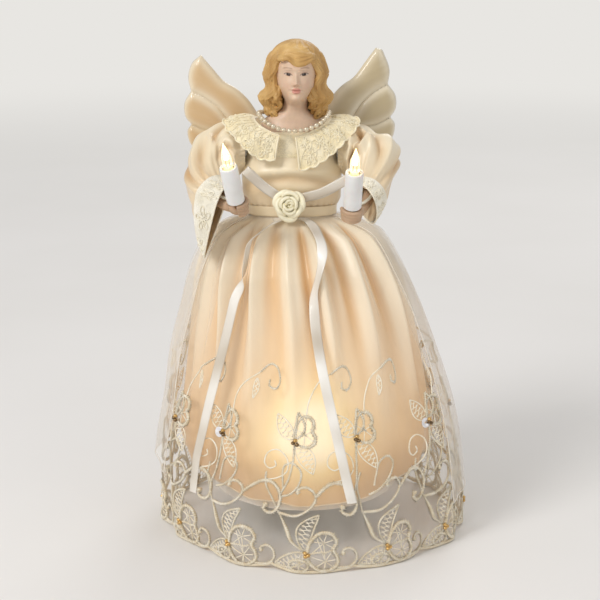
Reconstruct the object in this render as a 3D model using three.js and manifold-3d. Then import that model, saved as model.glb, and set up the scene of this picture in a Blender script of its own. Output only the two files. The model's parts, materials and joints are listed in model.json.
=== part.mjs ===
// Lighted angel tree topper: a doll-like figure on a stiff cone, dressed in satin, organza and lace.
// Units are millimetres. +Z is up, -Y is the front, +X is the figure's own left.
// The origin is the centre of the overskirt's hem, on the surface that the topper stands on.
import * as THREE from 'three';
import { mergeVertices } from 'three/addons/utils/BufferGeometryUtils.js';
import Module from 'manifold-3d';

const wasm = await Module();
wasm.setup();

// Driving dimensions
const FIT_GAP = 0.3;
const FIGURE_X = -12;
const WAIST_Z = 199;
const SKIRT_DEPTH_RATIO = 0.88;
const WAIST_DEPTH_RATIO = 0.72;
const FOLD_COUNT = 12;
const GATHER_COUNT = 24;
const CLOTH_THICKNESS = 0.6;

const CONE_FOOT_Z = 28;
const CONE_NECK_Z = 186;
const CONE_TOP_Z = 193.7;
const CONE_SPIGOT_Z = 206;
const CONE_FOOT_RADIUS = 58;
const CONE_NECK_RADIUS = 12.4;
const CONE_SPIGOT_RADIUS = 9;
const CONE_WALL = 1.5;
const CONE_LEAN = 0.048;
const PEG_HOLE_RADIUS = 2;

const SHOULDER_Z = 240;
const SHOULDER_PIN_RADIUS = 3.9;
const SHOULDER_BORE_RADIUS = 4.3;
const SHOULDER_PIN_INNER = 16;
const SHOULDER_FLANGE_INNER = 27;
const SHOULDER_FLANGE_OUTER = 28.8;
const SHOULDER_FLANGE_RADIUS = 7;
const ARM_RADIUS = 2.6;
const LEAD_RADIUS = 0.9;
const LEAD_BORE_RADIUS = 1.5;

const CANDLE_LENGTH = 23.5;
const CANDLE_RADIUS = 5.2;
const CANDLE_WALL = 0.8;
const CANDLE_LAMP_REACH = 15.5;
const LAMP_RADIUS = 2.8;
const LAMP_BASE_LENGTH = 8;

const SKIRT_LAMP_LENGTH = 20;
const SKIRT_SOCKET_LENGTH = 16;
const SKIRT_SOCKET_RADIUS = 4;
const SKIRT_SOCKET_BORE = 3.1;
const SKIRT_LAMP_OFFSET = 6.5;
const CLIP_PEG_RADIUS = 1.5;
const HARNESS_RADIUS = 1.1;
const HARNESS_RING_RADIUS = 56;
const HARNESS_Z = 99.6;

const PEARL_RADIUS = 1.4;
const PEARL_COUNT = 24;
const PEARL_THREAD_RADIUS = 0.4;
const RIBBON_WIDTH = 6;
const RIBBON_THICKNESS = 0.5;
const ROSETTE_RADIUS = 9.6;
const ROSETTE_DEPTH = 8;
const WING_THICKNESS = 2.4;
const WING_EDGE = 0.8;
const SCREW_RADIUS = 1.25;
const SCREW_HEAD_RADIUS = 2.6;

// One entry for each lamp under the skirt: its direction round the cone and the height of its tip
const SKIRT_LAMPS = [
  { angle: -113, tip: 60 },
  { angle: -85, tip: 60 },
  { angle: -57, tip: 86 },
  { angle: -10, tip: 60 },
  { angle: 37, tip: 60 },
  { angle: 84, tip: 60 },
  { angle: 131, tip: 60 },
  { angle: 185, tip: 60 },
];

// Each skirt layer from the waist down: height, half width and the section's sideways centre
const SATIN = [
  { z: 198.8, half: 26.6, x: -12 },
  { z: 193, half: 38.6, x: -11 },
  { z: 186, half: 46.4, x: -10.2 },
  { z: 170, half: 54.8, x: -8.8 },
  { z: 141, half: 63.5, x: -5.6 },
  { z: 108, half: 71, x: -4 },
  { z: 75, half: 77.5, x: -3.2 },
  { z: 49, half: 81, x: -2.9 },
  { z: 34, half: 82.5, x: -2.8 },
];
const OVERSKIRT = [
  { z: 199, half: 28.4, x: -12 },
  { z: 193.4, half: 41, x: -10.9 },
  { z: 187, half: 48.8, x: -10 },
  { z: 170, half: 58.2, x: -9 },
  { z: 148, half: 67, x: -6.8 },
  { z: 118, half: 77.6, x: -4.8 },
  { z: 85, half: 85.8, x: -2.6 },
  { z: 55, half: 91, x: -1.2 },
  { z: 26, half: 94.5, x: 0 },
  { z: 0, half: 95.5, x: 0 },
];
const OVERLAY = [
  { z: 199.2, half: 30.2, x: -12 },
  { z: 193.8, half: 43.4, x: -10.7 },
  { z: 187.6, half: 51.2, x: -9.6 },
  { z: 170, half: 61.6, x: -8.9 },
  { z: 148, half: 71, x: -6.6 },
  { z: 118, half: 81.6, x: -4.7 },
  { z: 85, half: 89.4, x: -2.3 },
  { z: 58, half: 94.9, x: -2 },
  { z: 24, half: 98.5, x: -1.5 },
];
const SKIRT_EASE = 0.35;
const SCALLOP_RISE = 3.4;
const SCALLOP_SHARPNESS = 0.45;
const HEM_FLAT_CUT = 0.5;
const HEM_TUCK_ANGLE = -148;
const HEM_TUCK_WIDTH = 24;
const HEM_TUCK_DEPTH = 8;
const OVERLAY_START_ANGLE = -27;
const OVERLAY_SWEEP = 234;
const OVERLAY_HEM_MIDDLE = 35;
const OVERLAY_HEM_SLOPE = 11;

const radians = THREE.MathUtils.degToRad;
const point = (x, y, z) => new THREE.Vector3(x, y, z);

// Smooth value of one field of a list of stations, at a height between them
function stationAt(stations, field, z) {
  let i = 0;
  while (i < stations.length - 2 && z < stations[i + 1].z) i += 1;
  const a = stations[i];
  const b = stations[i + 1];
  const slope = (k) => {
    const low = stations[Math.max(k - 1, 0)];
    const high = stations[Math.min(k + 1, stations.length - 1)];
    return (high[field] - low[field]) / (high.z - low.z);
  };
  const span = b.z - a.z;
  const t = THREE.MathUtils.clamp((z - a.z) / span, 0, 1);
  const t2 = t * t;
  const t3 = t2 * t;
  const fromA = (2 * t3 - 3 * t2 + 1) * a[field] + (t3 - 2 * t2 + t) * span * slope(i);
  const fromB = (3 * t2 - 2 * t3) * b[field] + (t3 - t2) * span * slope(i + 1);
  return fromA + fromB;
}

// The same closed body with its faces turned outwards
function facingOut(geometry) {
  const bare = geometry.clone();
  bare.deleteAttribute('normal');
  bare.deleteAttribute('uv');
  const merged = mergeVertices(bare, 1e-4);
  const places = merged.attributes.position;
  const order = merged.index.array;
  const [a, b, c] = [point(0, 0, 0), point(0, 0, 0), point(0, 0, 0)];
  let volume = 0;
  for (let i = 0; i < order.length; i += 3) {
    a.fromBufferAttribute(places, order[i]);
    b.fromBufferAttribute(places, order[i + 1]);
    c.fromBufferAttribute(places, order[i + 2]);
    volume += a.dot(b.cross(c));
  }
  if (volume < 0) {
    for (let i = 0; i < order.length; i += 3) {
      [order[i + 1], order[i + 2]] = [order[i + 2], order[i + 1]];
    }
  }
  return merged;
}

// A closed body from its corner points and its triangles, each a list of three corner numbers
function bodyFrom(positions, faces) {
  const geometry = new THREE.BufferGeometry().setFromPoints(positions);
  geometry.setIndex(faces.flat());
  return facingOut(geometry);
}

// Rings of equal length joined in order, each end closed with a fan
function loft(rings) {
  const size = rings[0].length;
  const positions = rings.flat();
  const faces = [];
  for (let i = 0; i < rings.length - 1; i += 1) {
    for (let j = 0; j < size; j += 1) {
      const next = (j + 1) % size;
      const [p, q] = [i * size + j, i * size + next];
      faces.push([p, q, q + size], [p, q + size, p + size]);
    }
  }
  for (const [ring, turned] of [[0, true], [rings.length - 1, false]]) {
    const centre = point(0, 0, 0);
    for (const p of rings[ring]) centre.addScaledVector(p, 1 / size);
    positions.push(centre);
    for (let j = 0; j < size; j += 1) {
      const [p, q] = [ring * size + j, ring * size + ((j + 1) % size)];
      faces.push(turned ? [positions.length - 1, q, p] : [positions.length - 1, p, q]);
    }
  }
  return bodyFrom(positions, faces);
}

// A sheet of even thickness on a surface; surface(u, v) gives its outer face, and round joins its two sides
function thickSheet(surface, columns, rows, thickness, round) {
  const count = round ? columns : columns + 1;
  const outer = [];
  const inner = [];
  const step = 1e-3;
  for (let i = 0; i < count; i += 1) {
    for (let j = 0; j <= rows; j += 1) {
      const [u, v] = [i / columns, j / rows];
      const across = surface(u + step, v).sub(surface(u - step, v));
      const [low, high] = [Math.max(v - step, 0), Math.min(v + step, 1)];
      const along = surface(u, high).sub(surface(u, low));
      const normal = across.cross(along).normalize();
      const p = surface(u, v);
      outer.push(p);
      inner.push(p.clone().addScaledVector(normal, -thickness));
    }
  }
  const positions = [...outer, ...inner];
  const shift = outer.length;
  const at = (i, j) => (i % count) * (rows + 1) + j;
  const faces = [];
  const quad = (a, b, c, d) => faces.push([a, b, c], [a, c, d]);
  const spans = round ? count : count - 1;
  for (let i = 0; i < spans; i += 1) {
    for (let j = 0; j < rows; j += 1) {
      quad(at(i, j), at(i + 1, j), at(i + 1, j + 1), at(i, j + 1));
      quad(shift + at(i, j), shift + at(i, j + 1), shift + at(i + 1, j + 1), shift + at(i + 1, j));
    }
    quad(at(i, 0), shift + at(i, 0), shift + at(i + 1, 0), at(i + 1, 0));
    quad(at(i, rows), at(i + 1, rows), shift + at(i + 1, rows), shift + at(i, rows));
  }
  if (!round) {
    for (let j = 0; j < rows; j += 1) {
      quad(at(0, j), at(0, j + 1), shift + at(0, j + 1), shift + at(0, j));
      quad(at(spans, j), shift + at(spans, j), shift + at(spans, j + 1), at(spans, j + 1));
    }
  }
  return bodyFrom(positions, faces);
}

// An upright loft of oval sections, given as height, centre and half sizes
function ovalLoft(sections, sides, grow = 0) {
  const rings = sections.map(({ z, x, y, half, deep }) => {
    const ring = [];
    for (let k = 0; k < sides; k += 1) {
      const angle = (k / sides) * 2 * Math.PI;
      ring.push(point(x + (half + grow) * Math.cos(angle), y + (deep + grow) * Math.sin(angle), z));
    }
    return ring;
  });
  return loft(rings);
}

// A solid of revolution about +Z from a list of [radius, height] pairs
function turned(profile, sides) {
  const points = profile.map(([r, z]) => new THREE.Vector2(r, z));
  const geometry = new THREE.LatheGeometry(points, sides);
  geometry.rotateX(Math.PI / 2);
  return facingOut(geometry);
}

// A round tube along a smooth open curve through the points
function tube(points, radius, sides, steps) {
  const outline = new THREE.Shape();
  for (let k = 0; k < sides; k += 1) {
    const angle = (k / sides) * 2 * Math.PI;
    const [x, y] = [radius * Math.cos(angle), radius * Math.sin(angle)];
    if (k === 0) outline.moveTo(x, y);
    else outline.lineTo(x, y);
  }
  outline.closePath();
  const path = new THREE.CatmullRomCurve3(points, false, 'centripetal');
  return facingOut(new THREE.ExtrudeGeometry(outline, { steps, extrudePath: path }));
}

// A round tube along a closed curve: curve(angle) is its centre, and stops lists its rings
function ringTube(curve, stops, sides) {
  const positions = [];
  const faces = [];
  stops.forEach(({ angle, radius }, i) => {
    const centre = curve(angle);
    const ahead = curve(angle + 1e-3).sub(centre).normalize();
    const side = ahead.clone().cross(point(0, 0, 1)).normalize();
    const up = side.clone().cross(ahead);
    for (let j = 0; j < sides; j += 1) {
      const turn = (j / sides) * 2 * Math.PI;
      const p = centre.clone().addScaledVector(side, radius * Math.cos(turn));
      positions.push(p.addScaledVector(up, radius * Math.sin(turn)));
      const beside = (j + 1) % sides;
      const here = i * sides;
      const next = ((i + 1) % stops.length) * sides;
      faces.push([here + j, here + beside, next + beside], [here + j, next + beside, next + j]);
    }
  });
  return bodyFrom(positions, faces);
}

// A flat strip that follows a curve through the points; across(t) is its width direction
function strip(points, width, across, steps) {
  const path = new THREE.CatmullRomCurve3(points, false, 'centripetal');
  const surface = (u, v) => {
    const t = THREE.MathUtils.clamp(v, 0, 1);
    return path.getPoint(t).addScaledVector(across(t).normalize(), (u - 0.5) * width);
  };
  return thickSheet(surface, 1, steps, RIBBON_THICKNESS, false);
}

// Boolean joins and cuts of closed bodies
function solidOf(geometry) {
  const merged = facingOut(geometry);
  return new wasm.Manifold(new wasm.Mesh({
    numProp: 3,
    vertProperties: new Float32Array(merged.attributes.position.array),
    triVerts: new Uint32Array(merged.index.array),
  }));
}

function geometryOf(solid) {
  const mesh = solid.getMesh();
  const geometry = new THREE.BufferGeometry();
  geometry.setAttribute('position', new THREE.BufferAttribute(mesh.vertProperties, 3));
  geometry.setIndex(new THREE.BufferAttribute(mesh.triVerts, 1));
  return geometry;
}

function cut(geometry, ...tools) {
  let solid = solidOf(geometry);
  for (const tool of tools) solid = solid.subtract(solidOf(tool));
  return geometryOf(solid);
}

function join(geometry, ...others) {
  let solid = solidOf(geometry);
  for (const other of others) solid = solid.add(solidOf(other));
  return geometryOf(solid);
}

// A cylinder between two points, for pins, pegs and cutting bores
function rod(from, to, radius, sides = 12) {
  const along = to.clone().sub(from);
  const geometry = new THREE.CylinderGeometry(radius, radius, along.length(), sides);
  const turn = new THREE.Quaternion().setFromUnitVectors(point(0, 1, 0), along.clone().normalize());
  geometry.applyQuaternion(turn);
  const middle = from.clone().lerp(to, 0.5);
  geometry.translate(middle.x, middle.y, middle.z);
  return geometry;
}

const finish = (color, roughness, metalness = 0) =>
  new THREE.MeshStandardMaterial({ color, roughness, metalness });
const MATERIALS = {
  frosted: finish(0xe9e6dd, 0.6),
  skin: finish(0xd9ab97, 0.5),
  blonde: finish(0xcd9f5e, 0.55),
  pearly: finish(0xd2c6ad, 0.35),
  steel: finish(0xb4b6ba, 0.35, 1),
  candle: finish(0xe6e2e2, 0.4),
  socket: finish(0xe8e8e0, 0.6),
  glass: finish(0xfff3cf, 0.05),
  lead: finish(0xe4e0cc, 0.5),
  satin: finish(0xd8bf98, 0.35),
  sleeve: finish(0xece4d8, 0.5),
  lace: finish(0xe6dcb8, 0.9),
  pearl: finish(0xf3ead6, 0.2),
  ribbon: finish(0xe3dcd6, 0.3),
  rosette: finish(0xf6edc6, 0.5),
  organza: finish(0xe0ccb0, 0.5),
  rubber: finish(0x55534e, 0.8),
};

const topper = new THREE.Group();

function piece(name, geometry, material, parent = topper) {
  const mesh = new THREE.Mesh(geometry, MATERIALS[material]);
  mesh.name = name;
  parent.add(mesh);
  return mesh;
}

// Cone and wiring
const coneCentreX = (z) => FIGURE_X + Math.max(CONE_TOP_Z - z, 0) * CONE_LEAN;

function coneRadius(z) {
  const fall = (CONE_NECK_Z - z) / (CONE_NECK_Z - CONE_FOOT_Z);
  return CONE_NECK_RADIUS + (CONE_FOOT_RADIUS - CONE_NECK_RADIUS) * Math.max(fall, 0);
}

// A place beside the cone, at a distance from the cone's centre line
function besideCone(degrees, radius, z) {
  const angle = radians(degrees);
  return point(coneCentreX(z) + radius * Math.cos(angle), radius * Math.sin(angle), z);
}

function clipPeg(lamp) {
  const pegZ = lamp.tip + SKIRT_LAMP_LENGTH - LAMP_BASE_LENGTH + SKIRT_SOCKET_LENGTH * 0.6;
  const lampRadius = coneRadius(lamp.tip) + SKIRT_LAMP_OFFSET;
  const centre = besideCone(lamp.angle, lampRadius, lamp.tip);
  const outward = point(Math.cos(radians(lamp.angle)), Math.sin(radians(lamp.angle)), 0);
  const from = point(centre.x, centre.y, pegZ).addScaledVector(outward, -SKIRT_SOCKET_RADIUS + 0.6);
  const inner = lampRadius - coneRadius(pegZ) + CONE_WALL * 2;
  const to = point(centre.x, centre.y, pegZ).addScaledVector(outward, -inner);
  return { from, to };
}

const GROMMET_Z = 38;
const GROMMET_NECK_RADIUS = 3.1;
const GROMMET_FLANGE_RADIUS = 4.8;
const GROMMET_BORE_RADIUS = 1.8;

function buildCone() {
  const slant = CONE_WALL * 1.04;
  const shell = turned([
    [0, CONE_SPIGOT_Z],
    [CONE_SPIGOT_RADIUS, CONE_SPIGOT_Z],
    [CONE_SPIGOT_RADIUS, CONE_TOP_Z],
    [CONE_NECK_RADIUS, CONE_TOP_Z],
    [CONE_NECK_RADIUS, CONE_NECK_Z],
    [CONE_FOOT_RADIUS, CONE_FOOT_Z],
    [CONE_FOOT_RADIUS - slant, CONE_FOOT_Z],
    [CONE_NECK_RADIUS - slant, CONE_NECK_Z],
    [CONE_SPIGOT_RADIUS - CONE_WALL, CONE_TOP_Z - CONE_WALL],
    [CONE_SPIGOT_RADIUS - CONE_WALL, CONE_SPIGOT_Z - CONE_WALL],
    [0, CONE_SPIGOT_Z - CONE_WALL],
  ], 24);
  const places = shell.attributes.position;
  for (let i = 0; i < places.count; i += 1) {
    places.setX(i, places.getX(i) + coneCentreX(places.getZ(i)));
  }
  const holes = SKIRT_LAMPS.map((lamp) => {
    const { from, to } = clipPeg(lamp);
    const beyond = to.clone().add(to.clone().sub(from).setLength(2));
    return rod(from, beyond, PEG_HOLE_RADIUS, 6);
  });
  const grommetHole = rod(
    besideCone(90, coneRadius(GROMMET_Z) - 6, GROMMET_Z),
    besideCone(90, coneRadius(GROMMET_Z) + 6, GROMMET_Z),
    GROMMET_NECK_RADIUS + FIT_GAP,
  );
  piece('tree_cone', cut(shell, ...holes, grommetHole), 'frosted');
}

// A bush for the supply cord, square to the upright face of its hole
function buildGrommet() {
  const reach = 2.6;
  const lip = 1.2;
  const bush = turned([
    [GROMMET_BORE_RADIUS, -reach - lip],
    [GROMMET_FLANGE_RADIUS, -reach - lip],
    [GROMMET_FLANGE_RADIUS, -reach],
    [GROMMET_NECK_RADIUS, -reach],
    [GROMMET_NECK_RADIUS, reach],
    [GROMMET_FLANGE_RADIUS, reach],
    [GROMMET_FLANGE_RADIUS, reach + lip],
    [GROMMET_BORE_RADIUS, reach + lip],
    [GROMMET_BORE_RADIUS, -reach - lip],
  ], 8);
  const mesh = piece('cord_grommet', bush, 'rubber');
  mesh.rotation.x = -Math.PI / 2;
  mesh.position.copy(besideCone(90, coneRadius(GROMMET_Z) - CONE_WALL / 2, GROMMET_Z));
}

function buildSkirtLamps() {
  SKIRT_LAMPS.forEach((lamp, k) => {
    const centre = besideCone(lamp.angle, coneRadius(lamp.tip) + SKIRT_LAMP_OFFSET, lamp.tip);
    const bulbLength = SKIRT_LAMP_LENGTH - LAMP_BASE_LENGTH;
    const bulb = turned([
      [0, 0],
      [LAMP_RADIUS * 0.55, bulbLength * 0.16],
      [LAMP_RADIUS, bulbLength * 0.5],
      [LAMP_RADIUS, bulbLength],
      [LAMP_RADIUS * 0.9, SKIRT_LAMP_LENGTH - 0.8],
      [0, SKIRT_LAMP_LENGTH - 0.8],
    ], 6);
    piece(`skirt_lamp_${k + 1}`, bulb, 'glass').position.copy(centre);
    const housing = turned([
      [0, LAMP_BASE_LENGTH],
      [SKIRT_SOCKET_BORE, LAMP_BASE_LENGTH],
      [SKIRT_SOCKET_BORE, 0],
      [SKIRT_SOCKET_RADIUS, 0],
      [SKIRT_SOCKET_RADIUS, SKIRT_SOCKET_LENGTH],
      [0, SKIRT_SOCKET_LENGTH],
    ], 7);
    housing.translate(centre.x, centre.y, lamp.tip + bulbLength);
    const peg = clipPeg(lamp);
    piece(`skirt_socket_${k + 1}`, join(housing, rod(peg.from, peg.to, CLIP_PEG_RADIUS, 6)), 'socket');
  });
}

function buildHarness() {
  const route = [];
  const tailStart = besideCone(90, coneRadius(GROMMET_Z) + 4, GROMMET_Z);
  route.push(tailStart);
  route.push(besideCone(90, coneRadius(GROMMET_Z) + 7, GROMMET_Z + 9));
  route.push(besideCone(91, HARNESS_RING_RADIUS + 1, 70));
  route.push(besideCone(94, HARNESS_RING_RADIUS, HARNESS_Z - 6));
  const turns = 22;
  for (let k = 0; k <= turns; k += 1) {
    route.push(besideCone(102 + (k / turns) * 336, HARNESS_RING_RADIUS, HARNESS_Z));
  }
  piece('harness_ring', tube(route, HARNESS_RADIUS, 5, 48), 'lead');
}

function buildRiser(name, side) {
  const direction = side > 0 ? 0 : 180;
  const route = [
    besideCone(direction, HARNESS_RING_RADIUS - 3, HARNESS_Z),
    besideCone(direction, coneRadius(112) + 5, 112),
    besideCone(direction, coneRadius(150) + 3.5, 150),
    besideCone(direction, 15.6, 182),
    point(FIGURE_X + side * 13.9, 0, 194),
    point(FIGURE_X + side * 13.2, 0, 208),
    point(FIGURE_X + side * 11.8, 0, 228),
    point(FIGURE_X + side * 12, 0, 236),
    point(FIGURE_X + side * 13.2, 0, 239.4),
    point(FIGURE_X + side * (SHOULDER_PIN_INNER - FIT_GAP), 0, SHOULDER_Z),
  ];
  piece(name, tube(route, LEAD_RADIUS, 5, 18), 'lead');
}

// Figure
const TORSO_WALL = 1.6;
const TORSO = [
  { z: 194, half: 23.4, deep: 12.9 },
  { z: 206, half: 23.6, deep: 13 },
  { z: 218, half: 24, deep: 14.5 },
  { z: 228, half: 24.6, deep: 15.5 },
  { z: 240, half: 24.8, deep: 13.6 },
  { z: 246, half: 20.6, deep: 12.4 },
];
const BODICE = [
  { z: 200.6, half: 25.8, deep: 15.4 },
  { z: 208, half: 26.2, deep: 16 },
  { z: 218, half: 26.6, deep: 17.6 },
  { z: 228, half: 26.8, deep: 18.2 },
  { z: 240, half: 26.3, deep: 15.6 },
  { z: 246.5, half: 23, deep: 14.2 },
  { z: 250.5, half: 21.2, deep: 13.4 },
];

// The outer face of an upright oval tube through the stations, from the bottom up
function ovalSurface(stations) {
  const falling = [...stations].reverse();
  const [bottom, top] = [stations[0].z, stations[stations.length - 1].z];
  return (u, v) => {
    const z = bottom + (top - bottom) * THREE.MathUtils.clamp(v, 0, 1);
    const angle = u * 2 * Math.PI;
    const half = stationAt(falling, 'half', z);
    const deep = stationAt(falling, 'deep', z);
    return point(FIGURE_X + half * Math.cos(angle), deep * Math.sin(angle), z);
  };
}

const shoulder = (side, reach) => point(FIGURE_X + side * reach, 0, SHOULDER_Z);
const SCREW_REACH = 9;
const SCREW_Z = 236;

function screwHole(side, radius) {
  const x = FIGURE_X + side * SCREW_REACH;
  return rod(point(x, 5, SCREW_Z), point(x, 40, SCREW_Z), radius);
}

function buildTorso() {
  const shell = thickSheet(ovalSurface(TORSO), 18, 5, TORSO_WALL, true);
  const bores = [-1, 1].map((side) =>
    rod(shoulder(side, 10), shoulder(side, 30), SHOULDER_BORE_RADIUS));
  const pilots = [-1, 1].map((side) => screwHole(side, SCREW_RADIUS + 0.1));
  piece('torso_former', cut(shell, ...bores, ...pilots), 'frosted');
}

function buildBodice() {
  const shell = thickSheet(ovalSurface(BODICE), 24, 5, CLOTH_THICKNESS, true);
  const armholes = [-1, 1].map((side) =>
    rod(shoulder(side, 10), shoulder(side, 32), SHOULDER_FLANGE_RADIUS + 1));
  const holes = [-1, 1].map((side) => screwHole(side, SCREW_RADIUS + FIT_GAP));
  piece('bodice', cut(shell, ...armholes, ...holes), 'satin');
}

const HEAD = [
  { z: 240, x: -12, y: 0, half: 10, deep: 7 },
  { z: 246, x: -12, y: 0, half: 10, deep: 7 },
  { z: 246.4, x: -12, y: 0, half: 19.4, deep: 11.4 },
  { z: 250, x: -12, y: -0.4, half: 18, deep: 11.2 },
  { z: 253, x: -11.6, y: -0.8, half: 13, deep: 9.6 },
  { z: 255.4, x: -11.2, y: -1, half: 9.2, deep: 8.6 },
  { z: 259, x: -10.8, y: -1.2, half: 8, deep: 8 },
  { z: 264, x: -10, y: -2, half: 8, deep: 8.4 },
  { z: 267.4, x: -9.4, y: -4.4, half: 8.2, deep: 10.8 },
  { z: 270, x: -9.2, y: -6, half: 8.8, deep: 13.4 },
  { z: 275, x: -9, y: -6, half: 10.9, deep: 14.3 },
  { z: 281, x: -9, y: -6, half: 12.3, deep: 14.6 },
  { z: 288, x: -9, y: -5.6, half: 12.9, deep: 14.6 },
  { z: 294, x: -9, y: -5, half: 11.8, deep: 13.4 },
  { z: 298, x: -9, y: -5, half: 8.6, deep: 10 },
  { z: 300.4, x: -9, y: -5, half: 3.4, deep: 4.4 },
];
const HAIR = [
  { z: 257.6, x: -9.4, y: 1, half: 14, deep: 6 },
  { z: 260.8, x: -9.3, y: 1, half: 16, deep: 6.8 },
  { z: 264.4, x: -9.2, y: 1.8, half: 20.6, deep: 11.4 },
  { z: 270.5, x: -9.2, y: 1.2, half: 22.4, deep: 15.2 },
  { z: 275.5, x: -9.2, y: 0.4, half: 20.6, deep: 16.8 },
  { z: 281, x: -9.2, y: -0.4, half: 19.4, deep: 17.6 },
  { z: 288, x: -9.4, y: -1, half: 18.4, deep: 17.8 },
  { z: 295, x: -9.8, y: -1.5, half: 16.4, deep: 16.8 },
  { z: 300, x: -9.8, y: -1.5, half: 13.6, deep: 14.2 },
  { z: 303.4, x: -9.8, y: -1, half: 8.6, deep: 9.4 },
  { z: 305, x: -9.8, y: -1, half: 3.4, deep: 4 },
];
// What the hair leaves open: a sphere scaled to the face, and an upright cylinder for the throat
const FACE_WINDOW = { x: -9.2, y: -21, z: 280.5, half: 12, deep: 15, tall: 16 };
const THROAT = { x: -10, y: -22, bottom: 258, top: 272, radius: 12.5 };

function buildHead() {
  piece('head_casting', ovalLoft(HEAD, 14), 'skin');
  const window = new THREE.SphereGeometry(1, 12, 8);
  window.scale(FACE_WINDOW.half, FACE_WINDOW.deep, FACE_WINDOW.tall);
  window.translate(FACE_WINDOW.x, FACE_WINDOW.y, FACE_WINDOW.z);
  const { x, y, bottom, top, radius } = THROAT;
  const throat = rod(point(x, y, bottom), point(x, y, top), radius);
  const hair = cut(ovalLoft(HAIR, 18), ovalLoft(HEAD, 14, FIT_GAP), window, throat);
  piece('hair', hair, 'blonde');
}

// Wings: one outline for both, as sideways reach from the figure's centre line and height
const WING_SCALLOPS = [
  [[60.3, 288.2], [63.3, 279.7], [62.3, 271.9]],
  [[66.9, 264.9], [67, 256.5], [63.4, 251.4]],
  [[66.2, 247], [64.6, 238.9], [58, 232]],
];
const WING_LOWER = [[46, 226], [32, 222.5], [14, 224]];
const WING_UPPER = [[27, 267], [33, 272.8], [41, 277.8], [48, 286]];
const WING_TIP = [54.6, 294];
const WING_ROOT_LOW = [4.5, 229];
const WING_ROOT_HIGH = [4.5, 245];
const WING_SHOULDER = [18, 252];
const WING_ROLL = { left: 2.4, right: -2.4 };
const WING_SWEEP = 11;
const WING_ROOT_Y = 18.7;

function wingPlate() {
  const outline = new THREE.Shape();
  const spline = (pairs) => outline.splineThru(pairs.map(([l, z]) => new THREE.Vector2(l, z)));
  outline.moveTo(...WING_TIP);
  for (const scallop of WING_SCALLOPS) spline(scallop);
  spline(WING_LOWER);
  outline.lineTo(...WING_ROOT_LOW);
  outline.lineTo(...WING_ROOT_HIGH);
  outline.lineTo(...WING_SHOULDER);
  spline([...WING_UPPER, WING_TIP]);
  const plate = new THREE.ExtrudeGeometry(outline, {
    depth: WING_THICKNESS,
    bevelThickness: WING_EDGE,
    bevelSize: WING_EDGE,
    bevelSegments: 1,
    curveSegments: 2,
  });
  plate.translate(0, 0, WING_EDGE);
  return plate;
}

// The plate lies in the local XY plane; it is stood up, mirrored for its side, rolled and swept back
function buildWing(name, side) {
  const plate = wingPlate();
  const roll = side > 0 ? WING_ROLL.left : WING_ROLL.right;
  plate.translate(-SCREW_REACH, -SCREW_Z, 0);
  plate.rotateX(Math.PI / 2);
  plate.translate(0, WING_THICKNESS + 2 * WING_EDGE, 0);
  plate.rotateY(-radians(roll));
  plate.scale(side, 1, 1);
  plate.rotateZ(radians(side * WING_SWEEP));
  plate.translate(FIGURE_X + side * SCREW_REACH, WING_ROOT_Y, SCREW_Z);
  piece(name, cut(plate, screwHole(side, SCREW_RADIUS + FIT_GAP)), 'pearly');
}

function buildWingScrew(name, side) {
  const headY = WING_ROOT_Y + WING_THICKNESS + 2 * WING_EDGE + 1.2;
  const screw = turned([
    [0, 0],
    [SCREW_RADIUS * 0.5, 0.6],
    [SCREW_RADIUS, 2.4],
    [SCREW_RADIUS, headY - 8],
    [SCREW_HEAD_RADIUS, headY - 8],
    [SCREW_HEAD_RADIUS * 0.92, headY - 6.9],
    [SCREW_HEAD_RADIUS * 0.5, headY - 6.4],
    [0, headY - 6.4],
  ], 8);
  const mesh = piece(name, screw, 'steel');
  mesh.rotation.x = -Math.PI / 2;
  mesh.position.set(FIGURE_X + side * SCREW_REACH, 8, SCREW_Z);
}

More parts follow.
